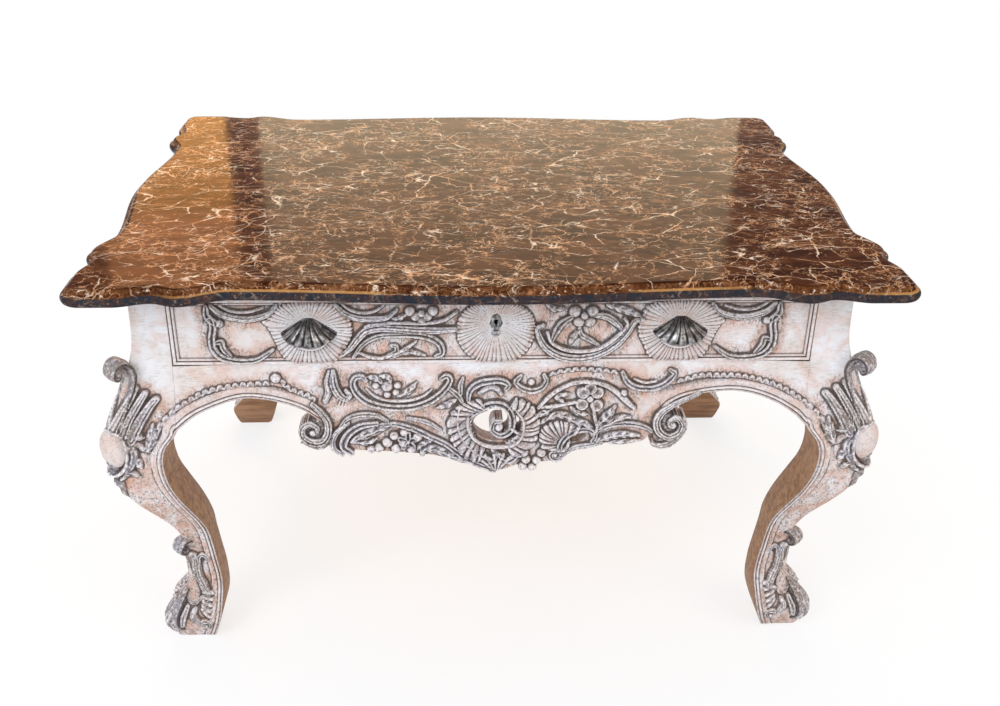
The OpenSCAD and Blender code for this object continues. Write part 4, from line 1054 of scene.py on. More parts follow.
@dataclass(frozen=True)
class FrontApron:
    """Pierced and carved apron under the drawer."""

    size: Sizes

    LOWER_EDGE = (
        (-401, 350), (-383, 363), (-362, 372), (-321, 383), (-285, 380), (-250, 368), (-228, 352),
        (-220, 340), (-214, 322), (-203, 308), (-170, 303), (-126, 300), (-78, 294), (-36, 283),
        (4, 270), (40, 281), (80, 284), (108, 301), (152, 311), (192, 312), (203, 322), (210, 340),
        (228, 368), (256, 382), (305, 388), (348, 380), (383, 364), (401, 349),
    )

    def arches(self, r: Relief) -> None:
        """Carves the moulding and the scalloped line over the two arches."""
        rim_moulding(r, cut_edge(r, self.LOWER_EDGE), ramp(np.abs(r.x + 4), 212, 226))
        for line in (
            [(-402, 376), (-391, 383), (-360, 397), (-320, 403), (-284, 405)],
            [(-268, 410), (-265, 402), (-256, 395), (-243, 389), (-234, 385), (-228, 378)],
            [(233, 402), (248, 407), (264, 411), (290, 411), (320, 409), (367, 396), (402, 376)],
        ):
            length = np.linalg.norm(np.diff(smooth_path(line), axis=0), axis=1).sum()
            r.stroke(line, (6, 7, 7, 6), 4.0, ROPE, 0.5, reeds=round(length / 9.5))
        r.berry((-276, 412), 6.5, 7)

    def left_half(self, r: Relief) -> None:
        """Carves what lies to the left of the opening."""
        # Rim that runs down from the arch into its volute, with the volute's tips
        r.berry((-230, 336), 15, 2.5, 1.0, True)
        r.stroke([(-232, 374), (-222, 362), (-215, 348), (-215, 332), (-222, 320), (-234, 318),
                  (-246, 326), (-247, 338), (-238, 345), (-229, 340), (-229, 333)],
                 (8, 9, 10, 11, 12, 12, 11, 9, 8, 6), 7.5, BAND, grow=True)
        r.berry((-234, 332), 5, 8, 1.0, True)
        r.leaf([(-212, 322), (-226, 312), (-250, 317)], 13, 6, 3, grow=True)
        # Double leaf with a fluted foot
        r.stroke([(-204, 421), (-204, 404), (-199, 390), (-190, 382), (-184, 388), (-189, 394)],
                 (6, 12, 13, 12, 8, 5), 7.5, BAND)
        r.stroke([(-209, 421), (-212, 406), (-211, 392), (-216, 378)], (4, 8, 9, 7), 6.5, REED,
                 reeds=2)
        for i in range(3):
            r.score([(-196 + 3 * i, 384 - i), (-201 + 4 * i, 372 - i)])
        # Bowl of scrolls with leaves, a ball and berries
        r.stroke([(-163, 408), (-168, 414), (-177, 412), (-180, 402), (-174, 388), (-160, 376),
                  (-136, 369), (-108, 369), (-86, 376), (-71, 387), (-61, 399), (-57, 409),
                  (-62, 414), (-68, 410)], (5, 7, 9, 10, 10, 10, 10, 10, 10, 10, 9, 8, 6), 8, COVE)
        r.stroke([(-164, 396), (-152, 384), (-134, 378), (-110, 378), (-92, 384), (-80, 394)],
                 (2, 4, 4, 4, 2), 4, glaze=0.6)
        r.berry((-137, 399), 7.5, 6.5)
        r.berries(((-151, 400), (-124, 400), (-137, 387), (-126, 390)), 4.6, 6)
        r.leaf([(-143, 404), (-152, 411), (-163, 413)], 9, 6, 3)
        r.leaf([(-132, 405), (-136, 412), (-146, 414)], 8, 6, 3)
        r.leaf([(-124, 385), (-110, 392), (-99, 405)], 10, 6, 3)
        r.stroke([(-59, 396), (-48, 386), (-42, 376)], (5, 8, 5), 6, COVE)
        # Open C-scroll over the left end, with its leaf
        r.stroke([(-152, 345), (-174, 341), (-190, 328), (-196, 311), (-186, 301)],
                 (6, 9, 11, 12, 8), 8, COVE, grow=True)
        r.stroke([(-188, 346), (-202, 334), (-209, 322), (-209, 308), (-198, 299)], (4, 7, 9, 9, 6),
                 6.5, BAND, grow=True)
        r.stroke([(-198, 341), (-189, 352), (-173, 358), (-152, 357), (-138, 348)], (4, 6, 7, 6, 4),
                 6, COVE)
        r.stroke([(-184, 318), (-168, 327), (-150, 336), (-134, 343)], (8, 14, 13, 5), 7, LEAF,
                 reeds=4)
        r.leaf([(-182, 318), (-164, 316), (-152, 322)], 9, 6, 3)
        # Long ridge down to the tip, with a second line under it
        r.stroke([(-150, 343), (-127, 343), (-103, 335), (-84, 324), (-64, 313), (-46, 298),
                  (-24, 282), (0, 271)], (4, 7, 8, 8, 8, 8, 8, 7), 6.5, COVE, grow=True)
        r.stroke([(-112, 352), (-88, 346), (-70, 334)], (4, 7, 4), 5, COVE)
        # Flowers, berries and leaves along the lower edge
        for x, z, w in ((-150, 308, 6.5), (-139, 316, 7), (-128, 307, 7), (-118, 315, 7),
                        (-108, 306, 6.5), (-130, 326, 6), (-100, 324, 6.5), (-117, 331, 5.5),
                        (-160, 306, 6)):
            r.berry((x, z), w, 8.0, grow=True)
        r.flower((-112, 318), 11, 5, 7.5)
        r.stroke([(-94, 297), (-90, 306), (-72, 303), (-50, 292), (-34, 284)], (7, 13, 13, 12, 6),
                 7.5, LEAF, reeds=5, grow=True)
        r.leaf([(-82, 318), (-94, 312), (-102, 302)], 9, 6, 3, grow=True)
        r.leaf([(-50, 379), (-61, 371), (-76, 366)], 10, 6, 3)

    def opening(self, r: Relief) -> None:
        """Pierces the heart-shaped opening and carves its spiral and its rays."""
        rim = [(-62, 346), (-54, 364), (-36, 376), (-10, 382), (20, 382), (46, 372), (58, 350),
               (57, 325), (48, 302), (24, 288), (-4, 282), (-32, 287), (-48, 302), (-59, 324)]
        for arc in ((118, 180), (-180, -112), (-66, 58)):
            r.shell((2, 341), rim, 34, 8.5, 0.52, 0.55, 0.08, arc=arc, twist=-0.5)
        # Curls under it
        r.stroke([(-22, 304), (-16, 290), (-4, 286), (4, 294)], (7, 9, 9, 5), 8, COVE, grow=True)
        r.stroke([(32, 302), (24, 288), (12, 286), (8, 295)], (7, 9, 8, 5), 8, COVE, grow=True)
        r.leaf([(-4, 306), (4, 296), (14, 292)], 9, 7, 2, grow=True)
        # Inner rim of the rays, and the ridges that cross them
        r.stroke([(-34, 360), (-35, 340), (-27, 321), (-10, 310), (10, 308), (28, 313), (37, 328),
                  (37, 348), (28, 363)], (6, 6, 5, 6, 6, 6, 6, 5), 7.5, BEAD, 0.6)
        r.stroke([(-46, 366), (-48, 346), (-42, 322), (-24, 300), (-4, 290)], (4, 5, 5, 5, 3), 8.5,
                 glaze=0.7)
        hole = np.hypot((r.x - 3) / 31.5, (r.z - 340) / 24.5)
        r.pierce((hole - 1) * 26)
        # Spiral that enters at the left, runs over the top and coils in to a ball
        r.stroke([(-38, 350), (-28, 359), (-16, 368), (-2, 372), (10, 370), (19, 361), (23, 347),
                  (20, 332), (8, 325), (-3, 333), (-1, 345), (8, 347)],
                 (5, 8, 10, 11, 11, 10, 10, 9, 8, 7, 6, 5), 8.5, COVE, grow=True)
        r.berry((5, 338), 6, 8.5, 0.9, True)
        r.stroke([(21, 336), (28, 330), (36, 326)], (6, 5, 5), 6, grow=True)
        r.stroke([(-44, 388), (-44, 400), (-41, 410)], (6, 7, 4), 6, COVE)
        r.stroke([(-34, 378), (-32, 392), (-22, 402), (-6, 406), (8, 406), (17, 400), (14, 394)],
                 (5, 8, 10, 10, 9, 8, 6), 7.5, COVE)
        r.stroke([(-20, 388), (-8, 396), (2, 394), (8, 386)], (5, 8, 8, 5), 6, REED, reeds=2)
        # Ribs that meet at the tip
        for i in range(5):
            x = -16 + 8 * i
            r.stroke([(x * 1.5, 296 - abs(i - 2)), (x * 0.8 + 1, 284), (2 + x * 0.25, 273)],
                     (5, 6, 3), 6.5, glaze=0.8, grow=True)

    def right_half(self, r: Relief) -> None:
        """Carves what lies to the right of the opening."""
        # Small bowl, scalloped line and smile-shaped scroll under the drawer
        r.stroke([(32, 412), (26, 404), (34, 395), (47, 391), (59, 395), (65, 405), (62, 413)],
                 (5, 7, 8, 9, 8, 7, 5), 7, COVE)
        r.berry((46, 403), 4.5, 5)
        r.stroke([(68, 413), (82, 418), (100, 421), (120, 421), (139, 419), (156, 416)],
                 (5, 6, 6, 5), 4.5, ROPE, 0.8, reeds=9)
        r.stroke([(162, 416), (168, 404), (178, 396), (192, 393), (206, 394), (219, 401),
                  (229, 414), (223, 419)], (5, 8, 9, 9, 9, 9, 8, 5), 7, COVE)
        r.stroke([(178, 406), (192, 401), (206, 403)], (3, 4, 3), 4, glaze=0.6)
        # Thin arc over the flower
        r.stroke([(56, 366), (69, 382), (82, 393), (101, 402), (121, 403), (141, 398), (157, 387),
                  (170, 374), (180, 364)], (4, 6, 6, 6, 6, 6, 7, 9, 6), 6.5, BEAD)
        r.berry((165, 386), 5, 6.5)
        # Round-petalled flower on its stem, with a bud and leaves
        r.berries(((113, 388), (131, 388), (112, 371), (131, 369), (122, 394)), 9.2, 8.5, 0.8,
                  section=CUP)
        r.berry((122, 379), 5, 9.5, 0.5)
        r.stroke([(60, 367), (76, 368), (90, 371), (106, 374)], (4, 6, 5, 4), 6, BEAD)
        r.leaf([(88, 374), (80, 382), (96, 386)], 9, 6.5, 3)
        r.leaf([(74, 366), (64, 358), (52, 354)], 11, 6.5, 3)
        r.stroke([(127, 366), (130, 350), (134, 336), (130, 326)], (4, 5, 6, 5), 6.5, BEAD)
        r.stroke([(134, 340), (146, 352), (155, 366)], (8, 15, 5), 7.5, LEAF, reeds=3)
        r.stroke([(136, 334), (150, 342), (166, 350), (176, 350)], (6, 12, 11, 4), 7, LEAF, reeds=3)
        r.stroke([(60, 344), (76, 354), (90, 354), (104, 345), (118, 340), (130, 330)],
                 (5, 9, 11, 11, 11, 7), 7.5, LEAF, reeds=6)
        r.leaf([(98, 366), (108, 358), (122, 354)], 10, 6.5, 3)
        # Fan beside the opening, C-scroll round the second opening, and its tail
        rim = [(62, 305), (58, 322), (64, 338), (78, 345), (98, 344), (112, 338), (102, 320),
               (92, 300)]
        r.shell((92, 308), rim, 30, 7.5, 0.3, 0.5, 0.08, grow=True)
        second = np.hypot((r.x - 109) * 0.95 + (r.z - 320) * 0.3,
                          ((r.z - 320) - (r.x - 109) * 0.3) * 1.6)
        r.pierce((second - 12) * 0.8)
        r.stroke([(88, 292), (86, 308), (93, 322), (106, 331), (122, 332), (132, 324), (128, 314)],
                 (6, 8, 9, 9, 8, 7, 5), 8, COVE, grow=True)
        r.stroke([(86, 290), (104, 304), (124, 308), (140, 312)], (7, 8, 9, 6), 6.5, BAND,
                 grow=True)
        r.stroke([(128, 324), (140, 335), (156, 340), (180, 340), (197, 335), (207, 328)],
                 (5, 8, 8, 8, 7, 5), 7, COVE)
        r.stroke([(134, 314), (151, 321), (170, 324), (190, 322)], (8, 12, 11, 4), 6.5, LEAF,
                 reeds=5, grow=True)
        r.leaf([(150, 312), (172, 313), (192, 315)], 9, 5.5, 3, grow=True)
        r.volute((80, 295), 10, 30, -330, 8, 7, grow=True)
        r.berries(((39, 298), (42, 287), (56, 286), (38, 277), (62, 297), (50, 276)), 6.2, 7.5,
                  grow=True)
        # Rim that runs down from the arch into its volute, with the volute's pointed tip
        r.berry((229, 338), 15, 2.5, 1.0, True)
        r.berry((222, 322), 13, 2.5, 1.0, True)
        r.stroke([(262, 386), (246, 378), (230, 369), (217, 358), (211, 344), (215, 329),
                  (228, 320), (241, 326), (245, 339), (237, 349), (228, 344), (229, 337)],
                 (7, 8, 9, 10, 11, 12, 12, 11, 10, 8, 6), 8, BAND, grow=True)
        r.berry((232, 338), 6, 8.5, 1.0, True)
        r.stroke([(247, 348), (249, 334), (240, 318), (224, 307), (208, 309)], (5, 7, 10, 11, 5),
                 6.5, BAND, grow=True)

    def carve(self) -> Relief:
        """Carves the whole face."""
        s = self.size
        r = Relief((-s.inner_x, 256.0), (s.inner_x, s.apron_top), 1.0)
        self.arches(r)
        self.left_half(r)
        self.right_half(r)
        self.opening(r)
        return r

    def build(self) -> bpy.types.Object:
        """Builds the board."""
        s, relief = self.size, self.carve()
        return carved_board("carved_front_apron", relief, facing(Facing.FRONT), s.board_y,
                            s.board_y - s.board, bowed(s, relief, 296, s.inner_x))


@dataclass(frozen=True)
class SideApron:
    """Carved frieze and apron of one end, in one board."""

    size: Sizes

    LOWER_EDGE = both_halves((
        (0, 293), (30, 298), (60, 306), (84, 322), (94, 338), (102, 352), (124, 368), (159, 380),
        (195, 383), (236, 372), (257, 363), (275, 350),
    ))
    # Strokes of the right half, which the left one repeats
    SCROLLS = (
        (((158, 408), (151, 415), (144, 410)), (6, 8, 5), 6, COVE),
        (((112, 374), (100, 358), (95, 342), (100, 328), (112, 324), (121, 332), (116, 342),
          (108, 338)), (8, 10, 11, 12, 11, 9, 6), 7.5, BAND, 1.0, 0.0, 3, True),
        (((88, 421), (88, 404), (82, 390), (72, 384), (66, 392)), (6, 12, 13, 10, 5), 7.5, BAND),
        (((92, 346), (74, 356), (52, 352), (36, 338), (30, 322)), (5, 9, 10, 9, 5), 7.5, COVE),
        (((20, 302), (44, 308), (70, 320), (88, 330)), (8, 14, 13, 5), 7.5, LEAF, 1.0, 0.0, 5,
         True),
        (((62, 414), (56, 400), (40, 392), (24, 398), (16, 412)), (5, 9, 9, 9, 5), 7, COVE),
    )
    # Rim of the panel's shell and strokes of its right half, with heights from its middle
    PANEL_SHELL = ((50, 2), (47, -18), (34, -34), (14, -40), (-14, -40), (-34, -34), (-47, -18),
                   (-50, 2), (-46, 22), (-30, 36), (0, 40), (30, 36), (46, 22))
    PANEL_SCROLLS = (
        (((48, -30), (62, -10), (80, 4), (110, 4), (134, -2), (142, -22)), (6, 10, 12, 11, 9, 5), 8,
         BAND),
        (((60, 24), (96, 14), (130, 16), (150, 32)), (5, 8, 8, 5), 6.5, COVE),
        (((70, -30), (92, -34), (116, -22)), (4, 8, 4), 6, LEAF),
    )

    def carve(self) -> Relief:
        """Carves the face: drawer-like panel over a scrolled apron."""
        s = self.size
        r = Relief((-s.inner_y, 282.0), (s.inner_y, s.frame_top), 1.25)
        rim_moulding(r, cut_edge(r, self.LOWER_EDGE), ramp(np.abs(r.x), 88, 104))
        for k in (-1, 1):
            line = moved(((275, 371), (262, 383), (234, 396), (196, 404), (158, 405)), 0, 0, k)
            r.stroke(line[::k], (6, 7, 7, 6), 4.0, ROPE, 0.5, reeds=14)
            carve_all(r, self.SCROLLS, 0, 0, k)
            r.berry((k * 50, 330), 6, 7)
            r.berry((k * 62, 336), 5.5, 7)
        rim = [(38, 344), (34, 324), (18, 306), (0, 300), (-18, 306), (-34, 324), (-38, 344),
               (0, 362)]
        r.shell((0, 344), rim, 34, 8.5, 0.3, 0.5, 0.07, grow=True)
        for i in range(5):
            a = math.radians(90 + 72 * i)
            r.berry((9.5 * math.cos(a), 388 + 9.5 * math.sin(a)), 8.5, 8.5, 0.85, section=CUP)
        r.berry((0, 388), 5, 9.5, 0.5)
        r.berry((0, 344), 9, 9, 0.9)
        panel_frame(r, s.inner_y - 3, s.face_z + 1, s.face_z + s.drawer_height - 1)
        mid = s.drawer_mid
        r.shell((0, mid + 16), moved(self.PANEL_SHELL, 0, mid), 52, 5.5, 0.16, 0.12, cut=0.3)
        r.berry((0, mid + 16), 7, 9, 0.8)
        for k in (-1, 1):
            carve_all(r, self.PANEL_SCROLLS, 0, mid, k)
            cartouche(r, k * 206, mid, k)
        return r

    def build(self, side: Facing) -> bpy.types.Object:
        """Builds the board on the right or the left."""
        s, relief = self.size, self.carve()
        return carved_board("carved_apron_" + side.name.lower(), relief, facing(side), s.board_x,
                            s.board_x - s.board, bowed(s, relief, 180, s.inner_y))


def panel_frame(r: Relief, half: float, low: float, high: float) -> Array:
    """Carves the fine double moulding round a panel, and gives the distance inside its edge."""
    d = np.minimum(half - np.abs(r.x), np.minimum(r.z - low, high - r.z))
    outer = 3.0 * np.sqrt(np.clip(1 - ((d - 1.75) / 1.9) ** 2, 0, 1)) ** 0.5
    inner = 1.9 * np.sqrt(np.clip(1 - ((d - 6.0) / 1.4) ** 2, 0, 1))
    r.height = np.maximum(r.height, np.maximum(outer, inner))
    # Painted shade: dark glaze lines in the grooves beside the beads
    line = np.exp(-(((d - 4.1) / 0.9) ** 2)) + 0.6 * np.exp(-(((d - 8.0) / 0.9) ** 2))
    r.glaze = np.maximum(r.glaze, 0.7 * line)
    return d


# Strokes of the scrolled frame at a panel's end, from its middle: a sagging band with a fine
# line above, then two scrolls that meet at the side
CARTOUCHE = (
    (((36, 36), (24, 25), (4, 19), (-14, 19), (-32, 25), (-42, 36)), (6, 9, 9, 9, 8, 5), 7.5, BAND),
    (((26, 37), (12, 29), (-8, 28), (-26, 33)), (3, 4, 4, 3), 5, BEAD, 0.8),
    (((42, 35), (42, 24), (34, 15), (27, 12)), (6, 9, 10, 8), 8, COVE),
    (((44, 14), (38, 19), (36, 8), (39, -8), (38, -22), (28, -34), (8, -39), (-14, -37),
      (-34, -24)), (5, 9, 10, 10, 9, 8, 7, 6, 4), 8.5, COVE),
    (((33, -13), (28, -13), (26, -22), (18, -33)), (7, 8, 7, 4), 6.5, COVE),
)


def cartouche(r: Relief, x: float, z: float, k: int) -> None:
    """Carves the scrolled frame at a panel's end, which opens to the middle.

    Args:
        r: Relief to carve.
        x: Middle of the frame.
        z: Middle of the panel's height.
        k: Side that the frame closes on, -1 or 1.
    """
    carve_all(r, CARTOUCHE, x, z, k)
    r.berry((x + k * 28, z + 13), 4.5, 8.5)


@dataclass(frozen=True)
class DrawerFace:
    """Moulding and carving over the drawer's front."""

    size: Sizes

    # How far the carved face lies over the board's
    LIFT = 0.4
    # Rim of the shell behind the left pull, from the pull's middle
    SHELL = ((-43, 32), (-50, 20), (-56, 14), (-50, 5), (-44, -9), (-37, -29), (-28, -39),
             (-8, -43), (16, -43), (36, -37), (44, -22), (51, -8), (53, 6), (49, 22), (42, 34),
             (20, 40), (-20, 40))
    # Ring under a pull's rim and rim of the keyhole's shell, from the pull's and panel's middle
    RING = ((-25, -10), (-14, -19), (0, -22.5), (14, -19), (25, -10))
    KEY_SHELL = ((-49, 2), (-47, -14), (-36, -32), (-16, -43), (16, -43), (36, -32), (46, -14),
                 (49, 4), (44, 22), (28, 36), (0, 41), (-28, 36), (-45, 20))

    def scroll_left(self, r: Relief) -> None:
        """Carves the leafy scroll between the left pull and the keyhole."""
        r.stroke([(-192, 444), (-180, 455), (-170, 468), (-160, 478), (-144, 482), (-123, 481),
                  (-101, 479), (-78, 478), (-50, 479)], (5, 9, 11, 12, 12, 12, 11, 10, 6), 8, BAND)
        r.stroke([(-162, 483), (-153, 487), (-125, 489), (-90, 488), (-65, 492), (-49, 503)],
                 (3, 5, 5, 5, 5, 4), 6.5, BEAD)
        r.stroke([(-177, 442), (-164, 460), (-146, 470), (-123, 472), (-101, 472), (-82, 468),
                  (-70, 459), (-67, 447), (-74, 442)], (4, 6, 6, 6, 7, 9, 10, 9, 6), 7.5, COVE)
        r.stroke([(-170, 448), (-158, 442), (-143, 440), (-128, 445), (-112, 453), (-99, 463)],
                 (3, 5, 5, 5, 5, 3), 6, BEAD)
        r.stroke([(-134, 444), (-124, 449), (-124, 456), (-130, 457)], (4, 6, 6, 4), 6, COVE)
        r.stroke([(-128, 442), (-108, 448), (-88, 443)], (4, 9, 3), 6, LEAF, reeds=3)
        r.stroke([(-196, 513), (-187, 503), (-172, 496), (-154, 494), (-134, 496), (-122, 506)],
                 (6, 9, 9, 9, 7, 4), 7.5, BAND)
        r.stroke([(-188, 514), (-178, 506), (-163, 502), (-148, 505), (-138, 512)], (3, 4, 4, 3), 5,
                 glaze=0.8)
        r.berries(((-106, 504), (-92, 492), (-78, 504), (-99, 497), (-85, 497)), 6.5, 7)
        r.berry((-92, 501), 4.5, 8.5, 0.6)
        r.leaf([(-110, 500), (-120, 494), (-130, 494)], 8, 5.5, 3)

    def scroll_right(self, r: Relief) -> None:
        """Carves the C-scroll between the keyhole and the right pull, with its flower."""
        r.stroke([(58, 484), (51, 480), (54, 468), (62, 454), (77, 443), (96, 438), (116, 439),
                  (135, 446), (152, 459), (164, 474), (172, 489), (182, 492)],
                 (6, 8, 10, 12, 13, 13, 13, 12, 12, 10, 9, 6), 8.5, BAND)
        r.stroke([(64, 474), (70, 460), (88, 450), (111, 448), (132, 453), (150, 467), (163, 484),
                  (160, 492)], (4, 5, 5, 5, 5, 5, 5, 4), 7.5, BEAD, 0.5)
        r.stroke([(93, 495), (81, 486), (73, 471), (70, 462)], (6, 10, 9, 4), 7, COVE)
        r.stroke([(118, 498), (137, 495), (152, 484), (158, 476)], (6, 10, 10, 5), 7, BAND)
        r.stroke([(138, 511), (156, 505), (174, 498), (182, 494)], (6, 11, 10, 4), 7, LEAF, reeds=4)
        r.berries(((97, 502), (119, 502), (103, 489), (116, 489)), 7.5, 7.5, 0.85)
        r.berry((109, 497), 5, 9, 0.5)
        r.stroke([(104, 480), (107, 470), (118, 463), (130, 455)], (4, 7, 6, 3), 6, COVE)
        r.leaf([(104, 476), (96, 466), (92, 456)], 9, 6, 3)
        r.leaf([(62, 512), (72, 506), (86, 507)], 9, 6, 3)

    def carve(self) -> Relief:
        """Carves the face."""
        s = self.size
        low, mid = s.face_z, s.drawer_mid
        r = Relief((-s.drawer_half, low), (s.drawer_half, low + s.drawer_height), 1.0)
        d = panel_frame(r, s.drawer_half, low, low + s.drawer_height)
        r.pierce(d - 0.3)
        # Shells behind the pulls, with a ring that follows the pull's rim
        for k in (-1, 1):
            x = k * s.pull_x
            r.shell((x, mid + 6), moved(self.SHELL, x, mid, -k), 52, 5.5, 0.2, 0.1, cut=0.3)
            r.stroke(moved(self.RING, x, mid), (3, 6, 7, 6, 3), 7, glaze=0.25)
            cartouche(r, k * 310, mid, k)
        # Shell round the keyhole
        r.shell((0, s.key_z), moved(self.KEY_SHELL, 0, mid), 56, 5.5, 0.16, 0.1, cut=0.3)
        self.scroll_left(r)
        self.scroll_right(r)
        # Flats for the pulls and the plate, and the way for the key
        seat, half, high = s.seat - self.LIFT, s.pull_width / 2, s.pull_height
        for k in (-1, 1):
            # Under a pull: from its narrow hinge out to the ends of its rim, then round
            x, z = r.x - k * s.pull_x, r.z - mid
            down = np.clip((high / 2 - z) / (0.48 * high), 0, 1)
            fan = (np.abs(x) < half * (0.14 + 0.86 * down)) & (z < high / 2)
            lip = np.hypot(x / half, z / (0.3 * high)) < 1
            r.sink(fan & (lip | (z > 0)), seat)
        head = np.hypot(r.x / 7.4, (r.z - s.key_z) / 12.2) < 1
        tail = np.hypot(r.x / 6.4, (r.z - s.key_z + 13) / 7.0) < 1
        r.sink(head | tail, seat)
        r.pierce((np.hypot(r.x / 4.4, (r.z - s.key_z + 3.0) / 9.0) - 1) * 4)
        return r

    def build(self) -> bpy.types.Object:
        """Builds the carved face."""
        s = self.size
        return carved_board("carved_drawer_face", self.carve(), facing(Facing.FRONT),
                            s.board_y + self.LIFT, s.board_y - 0.5)


# Fittings


@dataclass(frozen=True)
class Pull:
    """Cast shell pull: flutes spread from its hinge and its rim hangs clear."""

    size: Sizes

    FLUTES = 8
    WALL = 2.4

    def ridge(self, across: Array) -> Array:
        """Rises from 0 in the grooves to 1 on the ridges between them."""
        return np.abs(np.cos(across * self.FLUTES * math.pi / 2)) ** 0.6

    def hood(self, across: Array, down: Array, inset: float) -> Array:
        """Places points of the hood.

        Args:
            across: From -1 to 1 across the fan.
            down: From 0 at the hinge to 1 at the rim.
            inset: How far inside the outer surface they lie.

        Returns:
            Points as X, height and distance out.
        """
        s = self.size
        a = across * math.pi / 2
        ridge = self.ridge(across)
        flute = 1 - 0.14 * (1 - ridge) * np.minimum(1, 2.5 * down)
        top = s.pull_height / 2 - inset
        rim = -s.pull_height * (0.30 * np.cos(a) - 0.02) * (0.92 + 0.08 * ridge)
        x = (s.pull_width / 2 - inset) * np.sin(a) * (0.14 + 0.86 * down)
        z = top + (rim - top) * down
        y = (s.pull_out - inset) * np.cos(a) * np.sin(np.radians(105 * down)) * flute
        return np.stack([x, z, np.maximum(y, 0)], -1)

    def build(self, side: int) -> bpy.types.Object:
        """Builds the pull on the left (-1) or the right (1)."""
        s = self.size
        across, down = np.meshgrid(np.linspace(-1, 1, 97), np.linspace(0, 1, 29), indexing="ij")
        outer, inner = self.hood(across, down, 0.0), self.hood(across, down, self.WALL)
        rings = np.concatenate([outer, inner[:, ::-1]], 1)
        place = facing(Facing.FRONT)
        points = place(side * s.pull_x + rings[..., 0], s.board_y + s.seat + rings[..., 2],
                       s.drawer_mid + rings[..., 1])
        piece = skinned("shell_pull_" + ("left" if side < 0 else "right"), points)
        groove = 1 - self.ridge(across)
        carved_values(piece, 0, 0, np.concatenate([groove, np.ones_like(groove)], 1).ravel())
        return piece


@dataclass(frozen=True)
class KeyholePlate:
    """Thin brass plate with a round head and a flared tail, pierced for the key."""

    size: Sizes

    OUTLINE = ((5.9, 3.0), (5.4, 6.6), (3.4, 9.4), (0.0, 10.5))
    TAIL = ((5.9, 3.0), (4.6, -1.5), (3.7, -6.0), (4.0, -10.5), (5.8, -14.8), (3.0, -16.6),
            (0.0, -17.2))
    # Radius of the keyhole's head, half of its slot's width and the slot's foot
    HEAD = 3.9
    SLOT = 2.5
    SLOT_FOOT = -10.5
    THICKNESS = 1.4

    def build(self) -> bpy.types.Object:
        """Builds the plate as a bevelled ring round the keyhole."""
        s = self.size
        right = np.vstack([smooth_path(self.OUTLINE, 0.5)[::-1], smooth_path(self.TAIL, 0.5)[1:]])
        outer = np.vstack([right, (right * (-1, 1))[::-1][1:-1]])
        n = len(outer)
        a = np.arctan2(outer[:, 1] + 3, outer[:, 0])
        x, z = np.cos(a), np.sin(a)
        hole = np.stack([x * self.HEAD, z * self.HEAD], 1)
        low = z < -0.2
        hole[low, 0] = np.clip(x[low] * 9, -self.SLOT, self.SLOT)
        hole[low, 1] = np.maximum(self.SLOT_FOOT, -3.0 + z[low] * 8.0)
        front = self.THICKNESS
        loops = [(outer, 0.0), (outer, front - 0.5), (outer * 0.9, front), (hole * 1.12, front),
                 (hole, front - 0.3), (hole, 0.0)]
        hollow = np.repeat((0.0, 0.0, 0.0, 0.4, 1.0, 1.0), n)
        place = facing(Facing.FRONT)
        rings = np.array([place(p[:, 0], np.full(n, s.board_y + s.seat - 0.1 + y),
                                s.key_z + p[:, 1]) for p, y in loops])
        plate = skinned("keyhole_plate", rings, caps=False)
        carved_values(plate, 0, 0, hollow)
        return plate


# Finishes


def linear(colour: str) -> tuple[float, float, float, float]:
    """Turns an sRGB hex colour into the linear values that a shader takes."""
    parts = [int(colour[i : i + 2], 16) / 255 for i in (1, 3, 5)]
    r, g, b = (c / 12.92 if c <= 0.04045 else ((c + 0.055) / 1.055) ** 2.4 for c in parts)
    return (r, g, b, 1.0)


